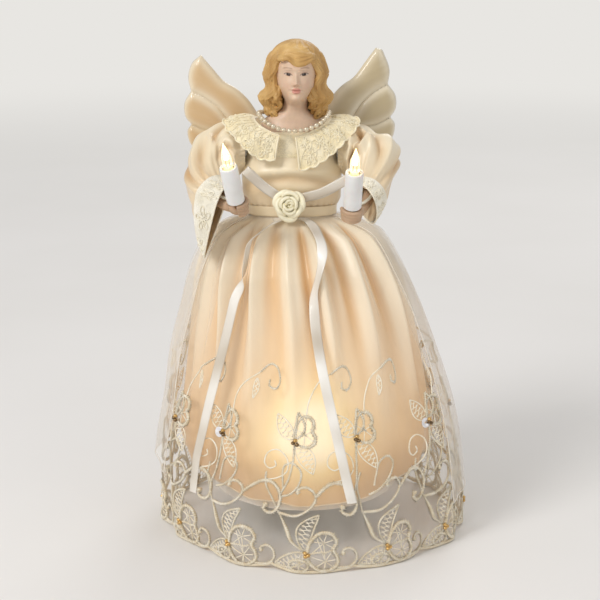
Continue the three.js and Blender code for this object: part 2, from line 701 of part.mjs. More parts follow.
// Arms, hands and candles. A plan's places are [reach, y, z], where reach is sideways from the
// figure's centre line. A sleeve section is square to its heading and dip, with its half sizes.
const ARMS = {
  left: {
    side: 1,
    candleFoot: point(22.9, -57, 214.2),
    candleLean: point(0.03, -0.39, 0.92),
    arm: [
      [28.4, 0, 235.4],
      [37, -3, 232.5],
      [45, -10, 227],
      [47, -21, 219.5],
      [44.5, -32, 213],
      [41.5, -40, 210],
      [38.8, -45, 208.6],
    ],
    lead: [
      [31, 0, 240],
      [40, -4, 237.5],
      [49, -11, 231.5],
      [50.5, -22, 224.2],
      [48, -32.5, 217.8],
      [43.6, -41, 214.4],
    ],
    sleeve: [
      { reach: 27.6, y: 0, z: 240, heading: 0, dip: 0, wide: 12.4, top: 12.4, bottom: 12.4 },
      { reach: 34, y: 0, z: 240, heading: 4, dip: 2, wide: 14.2, top: 13.6, bottom: 15 },
      { reach: 45, y: -2, z: 237, heading: 32, dip: 14, wide: 16, top: 14, bottom: 17 },
      { reach: 51, y: -11, z: 231, heading: 70, dip: 22, wide: 15.5, top: 13.5, bottom: 15 },
      { reach: 47.6, y: -24, z: 219, heading: 114, dip: 26, wide: 10.8, top: 11, bottom: 13 },
      { reach: 43.6, y: -33.4, z: 212.6, heading: 150, dip: 16, wide: 10.2, top: 9.5, bottom: 12.5 },
    ],
  },
  right: {
    side: -1,
    candleFoot: point(-43.3, -57, 217.4),
    candleLean: point(-0.16, -0.38, 0.91),
    arm: [
      [28.4, 0, 235.4],
      [37, -3, 232.5],
      [45, -11, 227.5],
      [47.5, -23, 220.6],
      [44.5, -34, 215],
      [39.5, -41.5, 212.8],
      [35, -45.8, 212],
    ],
    lead: [
      [31, 0, 240],
      [40, -4, 237.5],
      [48.5, -12, 233],
      [51.5, -24, 226.2],
      [47.4, -35, 220.6],
      [40, -43, 217.2],
    ],
    sleeve: [
      { reach: 27.6, y: 0, z: 240, heading: 0, dip: 0, wide: 12.4, top: 12.4, bottom: 12.4 },
      { reach: 34, y: 0, z: 240, heading: 4, dip: 2, wide: 14.2, top: 13.6, bottom: 15 },
      { reach: 45, y: -3, z: 236.6, heading: 35, dip: 14, wide: 15.5, top: 14, bottom: 18 },
      { reach: 50, y: -14, z: 228.5, heading: 74, dip: 17, wide: 14, top: 13, bottom: 24 },
      { reach: 48.6, y: -28, z: 219.5, heading: 122, dip: 20, wide: 12.6, top: 11.5, bottom: 32 },
      { reach: 40.6, y: -37.5, z: 213.6, heading: 166, dip: 18, wide: 9.8, top: 8.5, bottom: 35 },
    ],
  },
};

const HAND_HALF = point(7, 7.4, 5);
const HAND_DROP = 5.2;
const WRIST_CLEARANCE = 0.5;
const CATCH_DISC_RADIUS = 5;
const CANDLE_RIM = 1.1;

const fromReach = (side, [reach, y, z]) => point(FIGURE_X + side * reach, y, z);

// The outer face of a sleeve: u runs round it and v from the armhole to the cuff
function sleeveSurface(plan) {
  const fields = ['reach', 'y', 'z', 'heading', 'dip', 'wide', 'top', 'bottom'];
  const last = plan.sleeve.length - 1;
  return (u, v) => {
    const row = THREE.MathUtils.clamp(v, 0, 1) * last;
    const i = Math.min(Math.floor(row), last - 1);
    const t = row - i;
    const value = {};
    for (const field of fields) {
      const near = [i - 1, i, i + 1, i + 2];
      const [a, b, c, d] = near.map((k) => plan.sleeve[THREE.MathUtils.clamp(k, 0, last)][field]);
      const [slopeB, slopeC] = [(c - a) / 2, (d - b) / 2];
      value[field] = (2 * t ** 3 - 3 * t ** 2 + 1) * b + (t ** 3 - 2 * t ** 2 + t) * slopeB
        + (3 * t ** 2 - 2 * t ** 3) * c + (t ** 3 - t ** 2) * slopeC;
    }
    const heading = radians(value.heading);
    const dip = radians(value.dip);
    const inward = point(-Math.sin(heading), -Math.cos(heading), 0);
    const up = point(Math.cos(heading) * Math.sin(dip), -Math.sin(heading) * Math.sin(dip), Math.cos(dip));
    const angle = u * 2 * Math.PI;
    const rise = Math.sin(angle);
    const droop = Math.max(value.bottom - value.wide, 0) / value.bottom;
    const narrow = 1 - 0.7 * droop * Math.max(-rise, 0) ** 1.5;
    const place = point(value.reach, value.y, value.z)
      .addScaledVector(inward, value.wide * narrow * Math.cos(angle))
      .addScaledVector(up, (rise > 0 ? value.top : value.bottom) * rise);
    return fromReach(plan.side, place.toArray());
  };
}

const LACE_START = 0.875;
const LACE_END = 0.995;
const LACE_LIFT = 0.4;
const LACE_THICKNESS = 0.5;

// A band standing clear of the outer face of the cuff
function cuffLace(plan) {
  const sleeve = sleeveSurface(plan);
  const step = 1e-3;
  return (u, v) => {
    const along = LACE_START + (LACE_END - LACE_START) * THREE.MathUtils.clamp(v, 0, 1);
    const across = sleeve(u + step, along).sub(sleeve(u - step, along));
    const down = sleeve(u, along + step).sub(sleeve(u, along - step));
    const normal = across.cross(down).normalize().multiplyScalar(plan.side);
    return sleeve(u, along).addScaledVector(normal, LACE_LIFT + LACE_THICKNESS);
  };
}

function buildArm(name, plan) {
  const { side } = plan;
  const axis = plan.candleLean.clone().normalize();
  const foot = plan.candleFoot;
  const along = (distance) => foot.clone().addScaledVector(axis, distance);
  const palm = along(-HAND_DROP).add(point(0, 2.6, 0.2));
  const leadRoute = [
    shoulder(side, SHOULDER_PIN_INNER),
    ...plan.lead.map((place) => fromReach(side, place)),
    palm.clone().add(point(0, 4.5, 2.2)),
    palm.clone().add(point(0, 0.2, 1.8)),
    along(-1.2),
    along(1.4),
  ];

  const inner = shoulder(side, SHOULDER_PIN_INNER);
  const outer = shoulder(side, SHOULDER_FLANGE_OUTER);
  const pin = rod(inner, outer, SHOULDER_PIN_RADIUS);
  const flange = rod(shoulder(side, SHOULDER_FLANGE_INNER), outer, SHOULDER_FLANGE_RADIUS);
  const catchDisc = rod(inner, shoulder(side, SHOULDER_PIN_INNER + 1.4), CATCH_DISC_RADIUS);
  const armRoute = plan.arm.map((place) => fromReach(side, place));
  const limb = tube(armRoute, ARM_RADIUS, 6, 9);
  const bore = rod(shoulder(side, 10), shoulder(side, 34), LEAD_BORE_RADIUS, 10);
  piece(`arm_${name}`, cut(join(pin, flange, catchDisc, limb), bore), 'frosted');

  const hand = new THREE.SphereGeometry(1, 10, 6);
  hand.scale(HAND_HALF.x, HAND_HALF.y, HAND_HALF.z);
  hand.translate(palm.x, palm.y, palm.z);
  const seat = rod(along(-FIT_GAP), along(12), CANDLE_RADIUS + FIT_GAP);
  const wrist = tube(armRoute, ARM_RADIUS + WRIST_CLEARANCE, 6, 9);
  const leadHole = tube(leadRoute.slice(4), LEAD_BORE_RADIUS + 0.2, 8, 14);
  piece(`hand_${name}`, cut(hand, seat, wrist, leadHole), 'skin');
  piece(`arm_lead_${name}`, tube(leadRoute, LEAD_RADIUS, 5, 18), 'lead');

  const turn = new THREE.Quaternion().setFromUnitVectors(point(0, 0, 1), axis);
  const candle = new THREE.Group();
  candle.position.copy(foot);
  candle.quaternion.copy(turn);
  topper.add(candle);
  const inside = CANDLE_RADIUS - CANDLE_WALL;
  piece(`candle_sleeve_${name}`, turned([
    [LEAD_BORE_RADIUS, 0],
    [CANDLE_RADIUS - 0.5, 0],
    [CANDLE_RADIUS, 0.8],
    [CANDLE_RADIUS, CANDLE_LENGTH - 0.5],
    [CANDLE_RADIUS - 0.4, CANDLE_LENGTH],
    [inside - CANDLE_RIM, CANDLE_LENGTH - 0.3],
    [inside - CANDLE_RIM, CANDLE_LENGTH - 1.3],
    [inside, CANDLE_LENGTH - 1.6],
    [inside, 1.2],
    [LEAD_BORE_RADIUS, 1.2],
    [LEAD_BORE_RADIUS, 0],
  ], 14), 'candle', candle);
  const socketFoot = 2;
  const socketTop = CANDLE_LENGTH - 2.2;
  const lampFoot = socketTop - LAMP_BASE_LENGTH;
  piece(`candle_socket_${name}`, turned([
    [0, socketFoot],
    [inside - FIT_GAP, socketFoot],
    [inside - FIT_GAP, socketTop],
    [SKIRT_SOCKET_BORE, socketTop],
    [SKIRT_SOCKET_BORE, lampFoot],
    [0, lampFoot],
  ], 12), 'socket', candle);
  const tip = CANDLE_LENGTH + CANDLE_LAMP_REACH;
  piece(`candle_lamp_${name}`, turned([
    [0, lampFoot + FIT_GAP],
    [LAMP_RADIUS * 0.9, lampFoot + FIT_GAP],
    [LAMP_RADIUS, socketTop],
    [LAMP_RADIUS, CANDLE_LENGTH + 5],
    [LAMP_RADIUS * 0.8, CANDLE_LENGTH + 9],
    [LAMP_RADIUS * 0.35, CANDLE_LENGTH + 13],
    [0, tip],
  ], 10), 'glass', candle);

  piece(`sleeve_${name}`, outwardSheet(sleeveSurface(plan), plan, 16, 8, CLOTH_THICKNESS), 'sleeve');
  piece(`sleeve_lace_${name}`, outwardSheet(cuffLace(plan), plan, 16, 1, LACE_THICKNESS), 'lace');
}

// A round sheet whose thickness always lies inside its surface, on either side of the figure
function outwardSheet(surface, plan, columns, rows, thickness) {
  const mirrored = (u, v) => surface(plan.side > 0 ? u : -u, v);
  return thickSheet(mirrored, columns, rows, thickness, true);
}

// Collar halves: the neck edge and the free edge, from the front end round to the wing
const COLLAR_NECK = [
  [5, -18.8, 248.6],
  [11, -17.6, 250.8],
  [18.5, -12.6, 254.2],
  [22, -3, 256.6],
  [20, 9, 256.2],
];
const COLLAR_FREE = [
  [8, -21.8, 229.8],
  [20, -22, 233.2],
  [30.5, -18, 245.5],
  [40, -3, 255],
  [33, 11, 256.5],
];
const COLLAR_THICKNESS = 0.7;
const COLLAR_CROWN = 1.6;

function buildCollar(name, side) {
  const curve = (places) =>
    new THREE.CatmullRomCurve3(places.map((place) => fromReach(side, place)), false, 'centripetal');
  const neck = curve(COLLAR_NECK);
  const free = curve(COLLAR_FREE);
  const surface = (u, v) => {
    const t = THREE.MathUtils.clamp(side > 0 ? u : 1 - u, 0, 1);
    const p = neck.getPoint(t).lerp(free.getPoint(t), v);
    p.z += COLLAR_CROWN * Math.sin(Math.PI * v);
    p.y -= 0.8 * Math.sin(Math.PI * v) * (1 - t);
    return p;
  };
  piece(name, thickSheet(surface, 12, 4, COLLAR_THICKNESS, false), 'lace');
}

// The necklace lies as an oval that droops to the front and a little to the back
const NECKLACE = { x: -10.5, y: -5, z: 261, half: 21, deep: 16.6, frontDroop: 8.6, backDroop: 1 };

function pearlPlace(angle) {
  const { x, y, z, half, deep, frontDroop, backDroop } = NECKLACE;
  const front = Math.max(-Math.sin(angle), 0);
  const back = Math.max(Math.sin(angle), 0);
  const drop = frontDroop * front ** 1.5 + backDroop * back;
  return point(x + half * Math.cos(angle), y + deep * Math.sin(angle), z - drop);
}

// Each bead swells out of the thread through two narrow rings and two wide ones
const BEAD_RINGS = [
  [-0.31, PEARL_THREAD_RADIUS],
  [-0.15, PEARL_RADIUS],
  [0.15, PEARL_RADIUS],
  [0.31, PEARL_THREAD_RADIUS],
];

function buildPearls() {
  const spacing = (2 * Math.PI) / PEARL_COUNT;
  const stops = [];
  for (let k = 0; k < PEARL_COUNT; k += 1) {
    for (const [place, radius] of BEAD_RINGS) {
      stops.push({ angle: (k + 0.5 + place) * spacing, radius });
    }
  }
  piece('pearl_strand', ringTube(pearlPlace, stops, 4), 'pearl');
}

// Skirts: a place on a layer, by angle round the figure and height
function skirtPlace(layer, angle, z, lift = 0) {
  const half = stationAt(layer, 'half', z);
  const x = stationAt(layer, 'x', z);
  const fall = THREE.MathUtils.clamp((WAIST_Z - z) / 30, 0, 1);
  const ratio = WAIST_DEPTH_RATIO + (SKIRT_DEPTH_RATIO - WAIST_DEPTH_RATIO) * fall;
  const spread = THREE.MathUtils.clamp((WAIST_Z - z) / 24, 0, 1);
  const low = THREE.MathUtils.clamp((WAIST_Z - z) / 120, 0, 1);
  const gather = 1.3 * spread * (1 - low) * Math.cos(GATHER_COUNT * angle);
  const fold = 1.5 * low * Math.cos(FOLD_COUNT * angle) + 1.2 * low * Math.cos(5 * angle + 1);
  const r = half + lift + gather + fold;
  return point(x + r * Math.cos(angle), ratio * r * Math.sin(angle), z);
}

// A height between a skirt's top and its hem, with the rows closer together near the top
function skirtRow(top, bottom, v) {
  const t = THREE.MathUtils.clamp(v, 0, 1);
  return top + (bottom - top) * (SKIRT_EASE * t ** 2 + (1 - SKIRT_EASE) * t);
}

function buildUnderskirt() {
  const [top, bottom] = [SATIN[0].z, SATIN[SATIN.length - 1].z];
  const surface = (u, v) => skirtPlace(SATIN, u * 2 * Math.PI, skirtRow(top, bottom, v));
  piece('satin_underskirt', thickSheet(surface, 48, 6, CLOTH_THICKNESS, true), 'satin');
}

// Depth of the place where the overskirt's hem is drawn in
function hemTuck(angle, z) {
  const degrees = THREE.MathUtils.radToDeg(angle);
  const away = THREE.MathUtils.euclideanModulo(degrees - HEM_TUCK_ANGLE + 180, 360) - 180;
  const low = THREE.MathUtils.clamp(1 - z / 60, 0, 1);
  return HEM_TUCK_DEPTH * low * Math.exp(-((away / HEM_TUCK_WIDTH) ** 2));
}

function overskirtPlace(angle, z) {
  return skirtPlace(OVERSKIRT, angle, z, -hemTuck(angle, z));
}

// The hem's scallops stand on points that are cut flat
function hemHeight(angle) {
  const scallop = 1 - Math.abs(Math.cos((FOLD_COUNT / 2) * angle)) ** SCALLOP_SHARPNESS;
  return Math.max(SCALLOP_RISE * scallop - HEM_FLAT_CUT, 0);
}

function buildOverskirt() {
  const top = OVERSKIRT[0].z;
  const surface = (u, v) => {
    const angle = u * 2 * Math.PI;
    return overskirtPlace(angle, skirtRow(top, hemHeight(angle), v));
  };
  const skirt = thickSheet(surface, 48, 7, CLOTH_THICKNESS, true);
  const places = skirt.attributes.position;
  for (let i = 0; i < places.count; i += 1) {
    if (places.getZ(i) < HEM_FLAT_CUT) places.setZ(i, 0);
  }
  piece('embroidered_overskirt', skirt, 'organza');
}

// The plain overlay is open at the front, and its hem rises towards the figure's right
function buildOverlay() {
  const top = OVERLAY[0].z;
  const surface = (u, v) => {
    const degrees = OVERLAY_START_ANGLE + OVERLAY_SWEEP * THREE.MathUtils.clamp(u, 0, 1);
    const bottom = OVERLAY_HEM_MIDDLE - OVERLAY_HEM_SLOPE * Math.cos(radians(degrees));
    return skirtPlace(OVERLAY, radians(degrees), skirtRow(top, bottom, v));
  };
  piece('organza_overlay', thickSheet(surface, 32, 6, CLOTH_THICKNESS, false), 'organza');
}

const WAIST_RIBBON_Z = 200;
const WAIST_HALF = 27.4;
const WAIST_DEEP = 17.2;

function buildWaistRibbon() {
  const surface = (u, v) => {
    const angle = u * 2 * Math.PI;
    const z = WAIST_RIBBON_Z + RIBBON_WIDTH * (1 - THREE.MathUtils.clamp(v, 0, 1));
    return point(FIGURE_X + WAIST_HALF * Math.cos(angle), WAIST_DEEP * Math.sin(angle), z);
  };
  piece('waist_ribbon', thickSheet(surface, 24, 1, RIBBON_THICKNESS, true), 'ribbon');
}

// Bow: rosette, two loops and two long tails
const ROSETTE_CENTRE = point(-13.3, -21.2, 208.4);
const ROSETTE_TILT = 10;

function buildRosette() {
  const rose = turned([
    [0, 0],
    [ROSETTE_RADIUS * 0.85, 0],
    [ROSETTE_RADIUS, ROSETTE_DEPTH * 0.45],
    [ROSETTE_RADIUS * 0.8, ROSETTE_DEPTH * 0.85],
    [ROSETTE_RADIUS * 0.62, ROSETTE_DEPTH * 0.7],
    [ROSETTE_RADIUS * 0.42, ROSETTE_DEPTH],
    [ROSETTE_RADIUS * 0.25, ROSETTE_DEPTH * 0.8],
    [0, ROSETTE_DEPTH * 0.9],
  ], 16);
  const mesh = piece('rosette', rose, 'rosette');
  mesh.rotation.x = Math.PI / 2 - radians(ROSETTE_TILT);
  mesh.position.copy(ROSETTE_CENTRE);
}

// Where a ribbon lies on the overskirt: how far round from the front, the height and the lift off the cloth
function onSkirt([degrees, z, lift]) {
  const place = overskirtPlace(radians(degrees), z);
  const outward = point(place.x - FIGURE_X, place.y, 12).normalize();
  return place.addScaledVector(outward, lift);
}

// The level direction along the cloth under a ribbon's route, for its width
function alongCloth(places) {
  return (t) => {
    const place = t * (places.length - 1);
    const i = Math.min(Math.floor(place), places.length - 2);
    const between = (field) =>
      THREE.MathUtils.lerp(places[i][field], places[i + 1][field], place - i);
    const [degrees, z] = [between(0), between(1)];
    return overskirtPlace(radians(degrees + 1), z).sub(overskirtPlace(radians(degrees - 1), z));
  };
}

const RIBBON_TAILS = {
  left: [
    [-77, 198.8, 1.8],
    [-72.6, 196.6, 2.6],
    [-73.6, 191.4, 3],
    [-75.4, 183.6, 2.6],
    [-78.4, 172, 2.2],
    [-82, 156, 2],
    [-82.8, 137, 2],
    [-80.6, 98, 2],
    [-75.4, 42.3, 2],
  ],
  right: [
    [-102.9, 198.8, 1.8],
    [-112, 194.9, 2.6],
    [-117.5, 187.6, 3],
    [-120.5, 177.6, 2.8],
    [-123, 167.4, 2.4],
    [-127.6, 153, 2],
    [-130.4, 120, 2],
    [-134.8, 81, 2],
    [-140.6, 37.3, 2],
  ],
};

// The bow's two loops stand clear of the cloth: places out along the front of each and back behind it,
// and the direction of the ribbon's width
const BOW_LOOPS = {
  left: {
    route: [
      [-8, -18.2, 210.8],
      [6, -22.5, 216],
      [18.8, -25.9, 223],
      [21.2, -24.3, 224.4],
      [18.6, -22.7, 222.6],
      [6.2, -20.3, 215.4],
      [-5.6, -17.5, 211.9],
    ],
    across: point(-0.42, -0.2, 0.88),
  },
  right: {
    route: [
      [-18.5, -18.2, 211.5],
      [-29, -23, 220],
      [-37.2, -26.4, 228],
      [-39.4, -24.6, 230.2],
      [-37, -22.8, 227.6],
      [-28.8, -20.6, 219.4],
      [-20.4, -17.5, 212.9],
    ],
    across: point(0.7, -0.2, 0.7),
  },
};
const LOOP_STEPS = 18;

function buildBow() {
  buildRosette();
  for (const [name, places] of Object.entries(RIBBON_TAILS)) {
    const tail = strip(places.map(onSkirt), RIBBON_WIDTH, alongCloth(places), 14);
    piece(`ribbon_tail_${name}`, tail, 'ribbon');
  }
  for (const [name, plan] of Object.entries(BOW_LOOPS)) {
    const route = plan.route.map((place) => point(...place));
    const loop = strip(route, RIBBON_WIDTH, () => plan.across.clone(), LOOP_STEPS);
    piece(`bow_loop_${name}`, loop, 'ribbon');
  }
}

buildCone();
buildGrommet();
buildSkirtLamps();
buildHarness();
buildRiser('lead_riser_left', 1);
buildRiser('lead_riser_right', -1);
buildTorso();
buildBodice();
buildHead();
buildWing('wing_left', 1);
buildWing('wing_right', -1);
buildWingScrew('wing_screw_left', 1);
buildWingScrew('wing_screw_right', -1);
buildArm('left', ARMS.left);
buildArm('right', ARMS.right);
buildCollar('collar_left', 1);
buildCollar('collar_right', -1);
buildPearls();
buildUnderskirt();
buildOverskirt();
buildOverlay();
buildWaistRibbon();
buildBow();

export default topper;
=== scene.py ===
"""Lighted angel tree topper: cloth, lace, embroidery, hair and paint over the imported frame."""
import json
import math
import random

import bpy
import numpy as np
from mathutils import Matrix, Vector

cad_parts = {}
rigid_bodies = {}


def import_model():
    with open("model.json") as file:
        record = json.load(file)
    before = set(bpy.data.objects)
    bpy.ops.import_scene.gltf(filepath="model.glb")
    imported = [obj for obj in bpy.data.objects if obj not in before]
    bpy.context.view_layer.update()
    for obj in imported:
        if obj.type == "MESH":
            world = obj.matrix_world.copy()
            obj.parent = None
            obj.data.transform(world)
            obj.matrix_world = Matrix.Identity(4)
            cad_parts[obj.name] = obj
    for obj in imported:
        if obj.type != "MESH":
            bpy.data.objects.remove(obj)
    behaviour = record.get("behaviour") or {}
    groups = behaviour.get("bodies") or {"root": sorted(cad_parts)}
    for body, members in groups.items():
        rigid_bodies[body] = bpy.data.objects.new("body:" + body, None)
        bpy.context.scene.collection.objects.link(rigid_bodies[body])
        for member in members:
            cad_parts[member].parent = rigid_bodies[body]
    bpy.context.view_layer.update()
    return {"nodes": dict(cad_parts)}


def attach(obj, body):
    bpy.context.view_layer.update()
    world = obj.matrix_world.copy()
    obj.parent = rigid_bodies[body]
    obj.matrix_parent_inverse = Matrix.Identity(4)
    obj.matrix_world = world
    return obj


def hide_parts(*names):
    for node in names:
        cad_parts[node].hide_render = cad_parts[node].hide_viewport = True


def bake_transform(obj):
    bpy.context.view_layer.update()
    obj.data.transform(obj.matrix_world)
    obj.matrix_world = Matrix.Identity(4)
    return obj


for spare in list(bpy.data.objects):
    bpy.data.objects.remove(spare)
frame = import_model()
MM = 0.001
# The figure's middle line and the skirts' seam at its waist, in mm
FIGURE_X = -12.0
WAIST_Z = 199.0
# Repeats of the border round the hem, each with a scallop of its own
REPEATS = 12


# Small numeric helpers; every length here is in millimetres
def hermite(places, values, at):
    """Smooth curve through values at rising places, read at an array of positions."""
    places, values = np.asarray(places, float), np.asarray(values, float)
    slopes = np.empty_like(values)
    slopes[1:-1] = ((values[2:] - values[:-2]).T / (places[2:] - places[:-2])).T
    slopes[0] = (values[1] - values[0]) / (places[1] - places[0])
    slopes[-1] = (values[-1] - values[-2]) / (places[-1] - places[-2])
    at = np.clip(np.asarray(at, float), places[0], places[-1])
    i = np.clip(np.searchsorted(places, at, side="right") - 1, 0, len(places) - 2)
    span = places[i + 1] - places[i]
    t = (at - places[i]) / span
    if values.ndim > 1:
        span, t = span[..., None], t[..., None]
    t2, t3 = t * t, t * t * t
    low = (2 * t3 - 3 * t2 + 1) * values[i] + (t3 - 2 * t2 + t) * span * slopes[i]
    high = (3 * t2 - 2 * t3) * values[i + 1] + (t3 - t2) * span * slopes[i + 1]
    return low + high


def stations(table, z):
    """The columns after a table's first one, which holds heights, read at other heights."""
    table = np.asarray(table, float)
    return [hermite(table[:, 0], table[:, k], z) for k in range(1, table.shape[1])]


def smooth(t):
    """Eases from 0 to 1 with level ends."""
    t = np.clip(t, 0, 1)
    return t * t * (3 - 2 * t)


def bell(x, width):
    """1 where x is 0, and fading on both sides of it."""
    return np.exp(-((x / width) ** 2))


def turn_evenly(count):
    """Directions evenly round a full turn, in radians."""
    return np.linspace(0, 2 * math.pi, count, endpoint=False)


def unit(vectors):
    """The same directions with a length of 1."""
    return vectors / np.linalg.norm(vectors, axis=-1)[..., None]


def run_along(points):
    """Distance along a line at each of its points."""
    return np.concatenate([[0], np.cumsum(np.linalg.norm(np.diff(points, axis=0), axis=1))])


def curve(points, count):
    """count points evenly along a smooth curve through the given ones."""
    points = np.asarray(points, float)
    steps = run_along(points)
    fine = hermite(steps, points, np.linspace(0, steps[-1], count * 8))
    run = run_along(fine)
    even = np.linspace(0, run[-1], count)
    return np.stack([np.interp(even, run, fine[:, k]) for k in range(fine.shape[1])], axis=1)


def waves(seed, counts, amount):
    """A smooth periodic function of angle and height made of cosines with seeded phases."""
    pick = random.Random(seed)
    terms = [(n, pick.uniform(0, 6.28), pick.uniform(-0.012, 0.012), amount * pick.uniform(0.6, 1))
             for n in counts]

    def value(angle, z):
        return sum(a * np.cos(n * angle + p + q * z) for n, p, q, a in terms) / len(terms) ** 0.5

    return value


# Mesh builders
CASTING_VOXEL = 0.36
def mesh_piece(name, points, faces, material, body="figure", uv=None):
    """A piece from points in mm that rides on a body; uv is the cloth's own width and length there."""
    mesh = bpy.data.meshes.new(name)
    mesh.from_pydata((np.asarray(points) * MM).tolist(), [], [tuple(map(int, f)) for f in faces])
    mesh.validate()
    if uv is not None:
        layer = mesh.uv_layers.new(name="cloth")
        corners = np.empty(len(mesh.loops), int)
        mesh.loops.foreach_get("vertex_index", corners)
        layer.data.foreach_set("uv", np.asarray(uv, np.float32)[corners].ravel())
    mesh.polygons.foreach_set("use_smooth", [True] * len(mesh.polygons))
    mesh.materials.append(material)
    obj = bpy.data.objects.new(name, mesh)
    bpy.context.scene.collection.objects.link(obj)
    if body:
        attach(obj, body)
    return obj


def grid_faces(rows, columns, wrap=False):
    """Quads of a grid of points stored row by row; wrap joins its last column to the first."""
    last = columns if wrap else columns - 1
    i, j = np.meshgrid(np.arange(rows - 1), np.arange(last), indexing="ij")
    k = (j + 1) % columns
    quads = [i * columns + j, i * columns + k, (i + 1) * columns + k, (i + 1) * columns + j]
    return np.stack(quads, axis=-1).reshape(-1, 4)


def cloth_grid(name, points, material, body="figure", wrap=False, flip=False):
    """A one-sided sheet from an array of rows of points, with its width and length in mm as UV."""
    rows, columns = points.shape[:2]
    faces = grid_faces(rows, columns, wrap)
    if flip:
        faces = faces[:, ::-1]
    u, v = run_along(points[rows // 2]), run_along(points[:, columns // 2])
    uv = np.stack(np.meshgrid(u, v), axis=-1).reshape(-1, 2)
    return mesh_piece(name, points.reshape(-1, 3), faces, material, body, uv)


GROOVES = 6


def tubes(paths, sides=6, flute=0.0):
    """One mesh from many threads, each a path of (points, radius or radii, closed).

    flute is the depth of the grooves along them, as a share of the radius.
    """
    all_points, all_faces, start = [], [], 0
    turn = np.arange(sides) / sides * 2 * math.pi
    for points, radius, closed in paths:
        points = np.asarray(points, float)
        count = len(points)
        if closed:
            ahead = np.roll(points, -1, 0) - np.roll(points, 1, 0)
        else:
            ahead = np.gradient(points, axis=0)
        ahead /= np.linalg.norm(ahead, axis=1)[:, None] + 1e-9
        side = np.cross(ahead, [0.13, 0.21, 0.97])
        side /= np.linalg.norm(side, axis=1)[:, None] + 1e-9
        up = np.cross(side, ahead)
        r = np.broadcast_to(np.asarray(radius, float), (count,))[:, None, None]
        ring = side[:, None] * np.cos(turn)[None, :, None] + up[:, None] * np.sin(turn)[None, :, None]
        grooved = (1 + flute * np.cos(GROOVES * turn))[None, :, None]
        all_points.append((points[:, None] + ring * r * grooved).reshape(-1, 3))
        faces = grid_faces(count + 1 if closed else count, sides, True)
        if closed:
            faces %= count * sides
        all_faces.extend((faces + start).tolist())
        if not closed:
            all_faces.append(list(range(start + sides - 1, start - 1, -1)))
            end = start + (count - 1) * sides
            all_faces.append(list(range(end, end + sides)))
        start += count * sides
    return np.concatenate(all_points), all_faces


def lathe(profile, sides=48):
    """Points and faces of a solid of revolution about +Z from [radius, height] rows."""
    profile = np.asarray(profile, float)
    turn = np.arange(sides) / sides * 2 * math.pi
    ring = np.stack([np.cos(turn), np.sin(turn)], axis=-1)
    points = np.concatenate([
        profile[:, :1, None] * ring[None], np.broadcast_to(profile[:, 1:, None], (len(profile), sides, 1)),
    ], axis=2)
    return points.reshape(-1, 3), grid_faces(len(profile), sides, True).tolist()


def turn_to(direction):
    """The rotation that brings +Z to a direction."""
    return np.array(Vector((0, 0, 1)).rotation_difference(Vector(direction)).to_matrix())


def merged(parts):
    """Several (points, faces) as one."""
    points, faces, start = [], [], 0
    for p, f in parts:
        points.append(np.asarray(p))
        faces.extend([[k + start for k in face] for face in f])
        start += len(p)
    return np.concatenate(points), faces


def remeshed(name, parts, material, body="figure", rounds=2):
    """One closed skin round several overlapping closed forms, as a casting has."""
    points, faces = merged(parts)
    obj = mesh_piece(name, points, faces, material, None)
    modifier = obj.modifiers.new("skin", "REMESH")
    modifier.mode = "VOXEL"
    modifier.voxel_size = CASTING_VOXEL * MM
    modifier.use_smooth_shade = True
    soft = obj.modifiers.new("soft", "SMOOTH")
    soft.iterations = rounds
    soft.factor = 0.5
    mesh = bpy.data.meshes.new_from_object(obj.evaluated_get(bpy.context.evaluated_depsgraph_get()))
    obj.modifiers.clear()
    obj.data = mesh
    mesh.name = name
    mesh.materials.clear()
    mesh.materials.append(material)
    mesh.polygons.foreach_set("use_smooth", [True] * len(mesh.polygons))
    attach(obj, body)
    return obj


def ellipsoid(centre, half, count):
    """Points and faces of an ellipsoid with its half sizes along the axes."""
    theta = np.linspace(0, math.pi, count)
    profile = np.stack([np.sin(theta) + 1e-4, -np.cos(theta)], axis=1)
    points, faces = lathe(profile, count * 2)
    return points * np.asarray(half) + np.asarray(centre), faces


# Materials
def rgb(r, g, b):
    """A colour written as on screen, 0 to 255, in the linear values that shaders use."""
    def linear(c):
        c /= 255
        return c / 12.92 if c <= 0.04045 else ((c + 0.055) / 1.055) ** 2.4
    return (linear(r), linear(g), linear(b), 1.0)


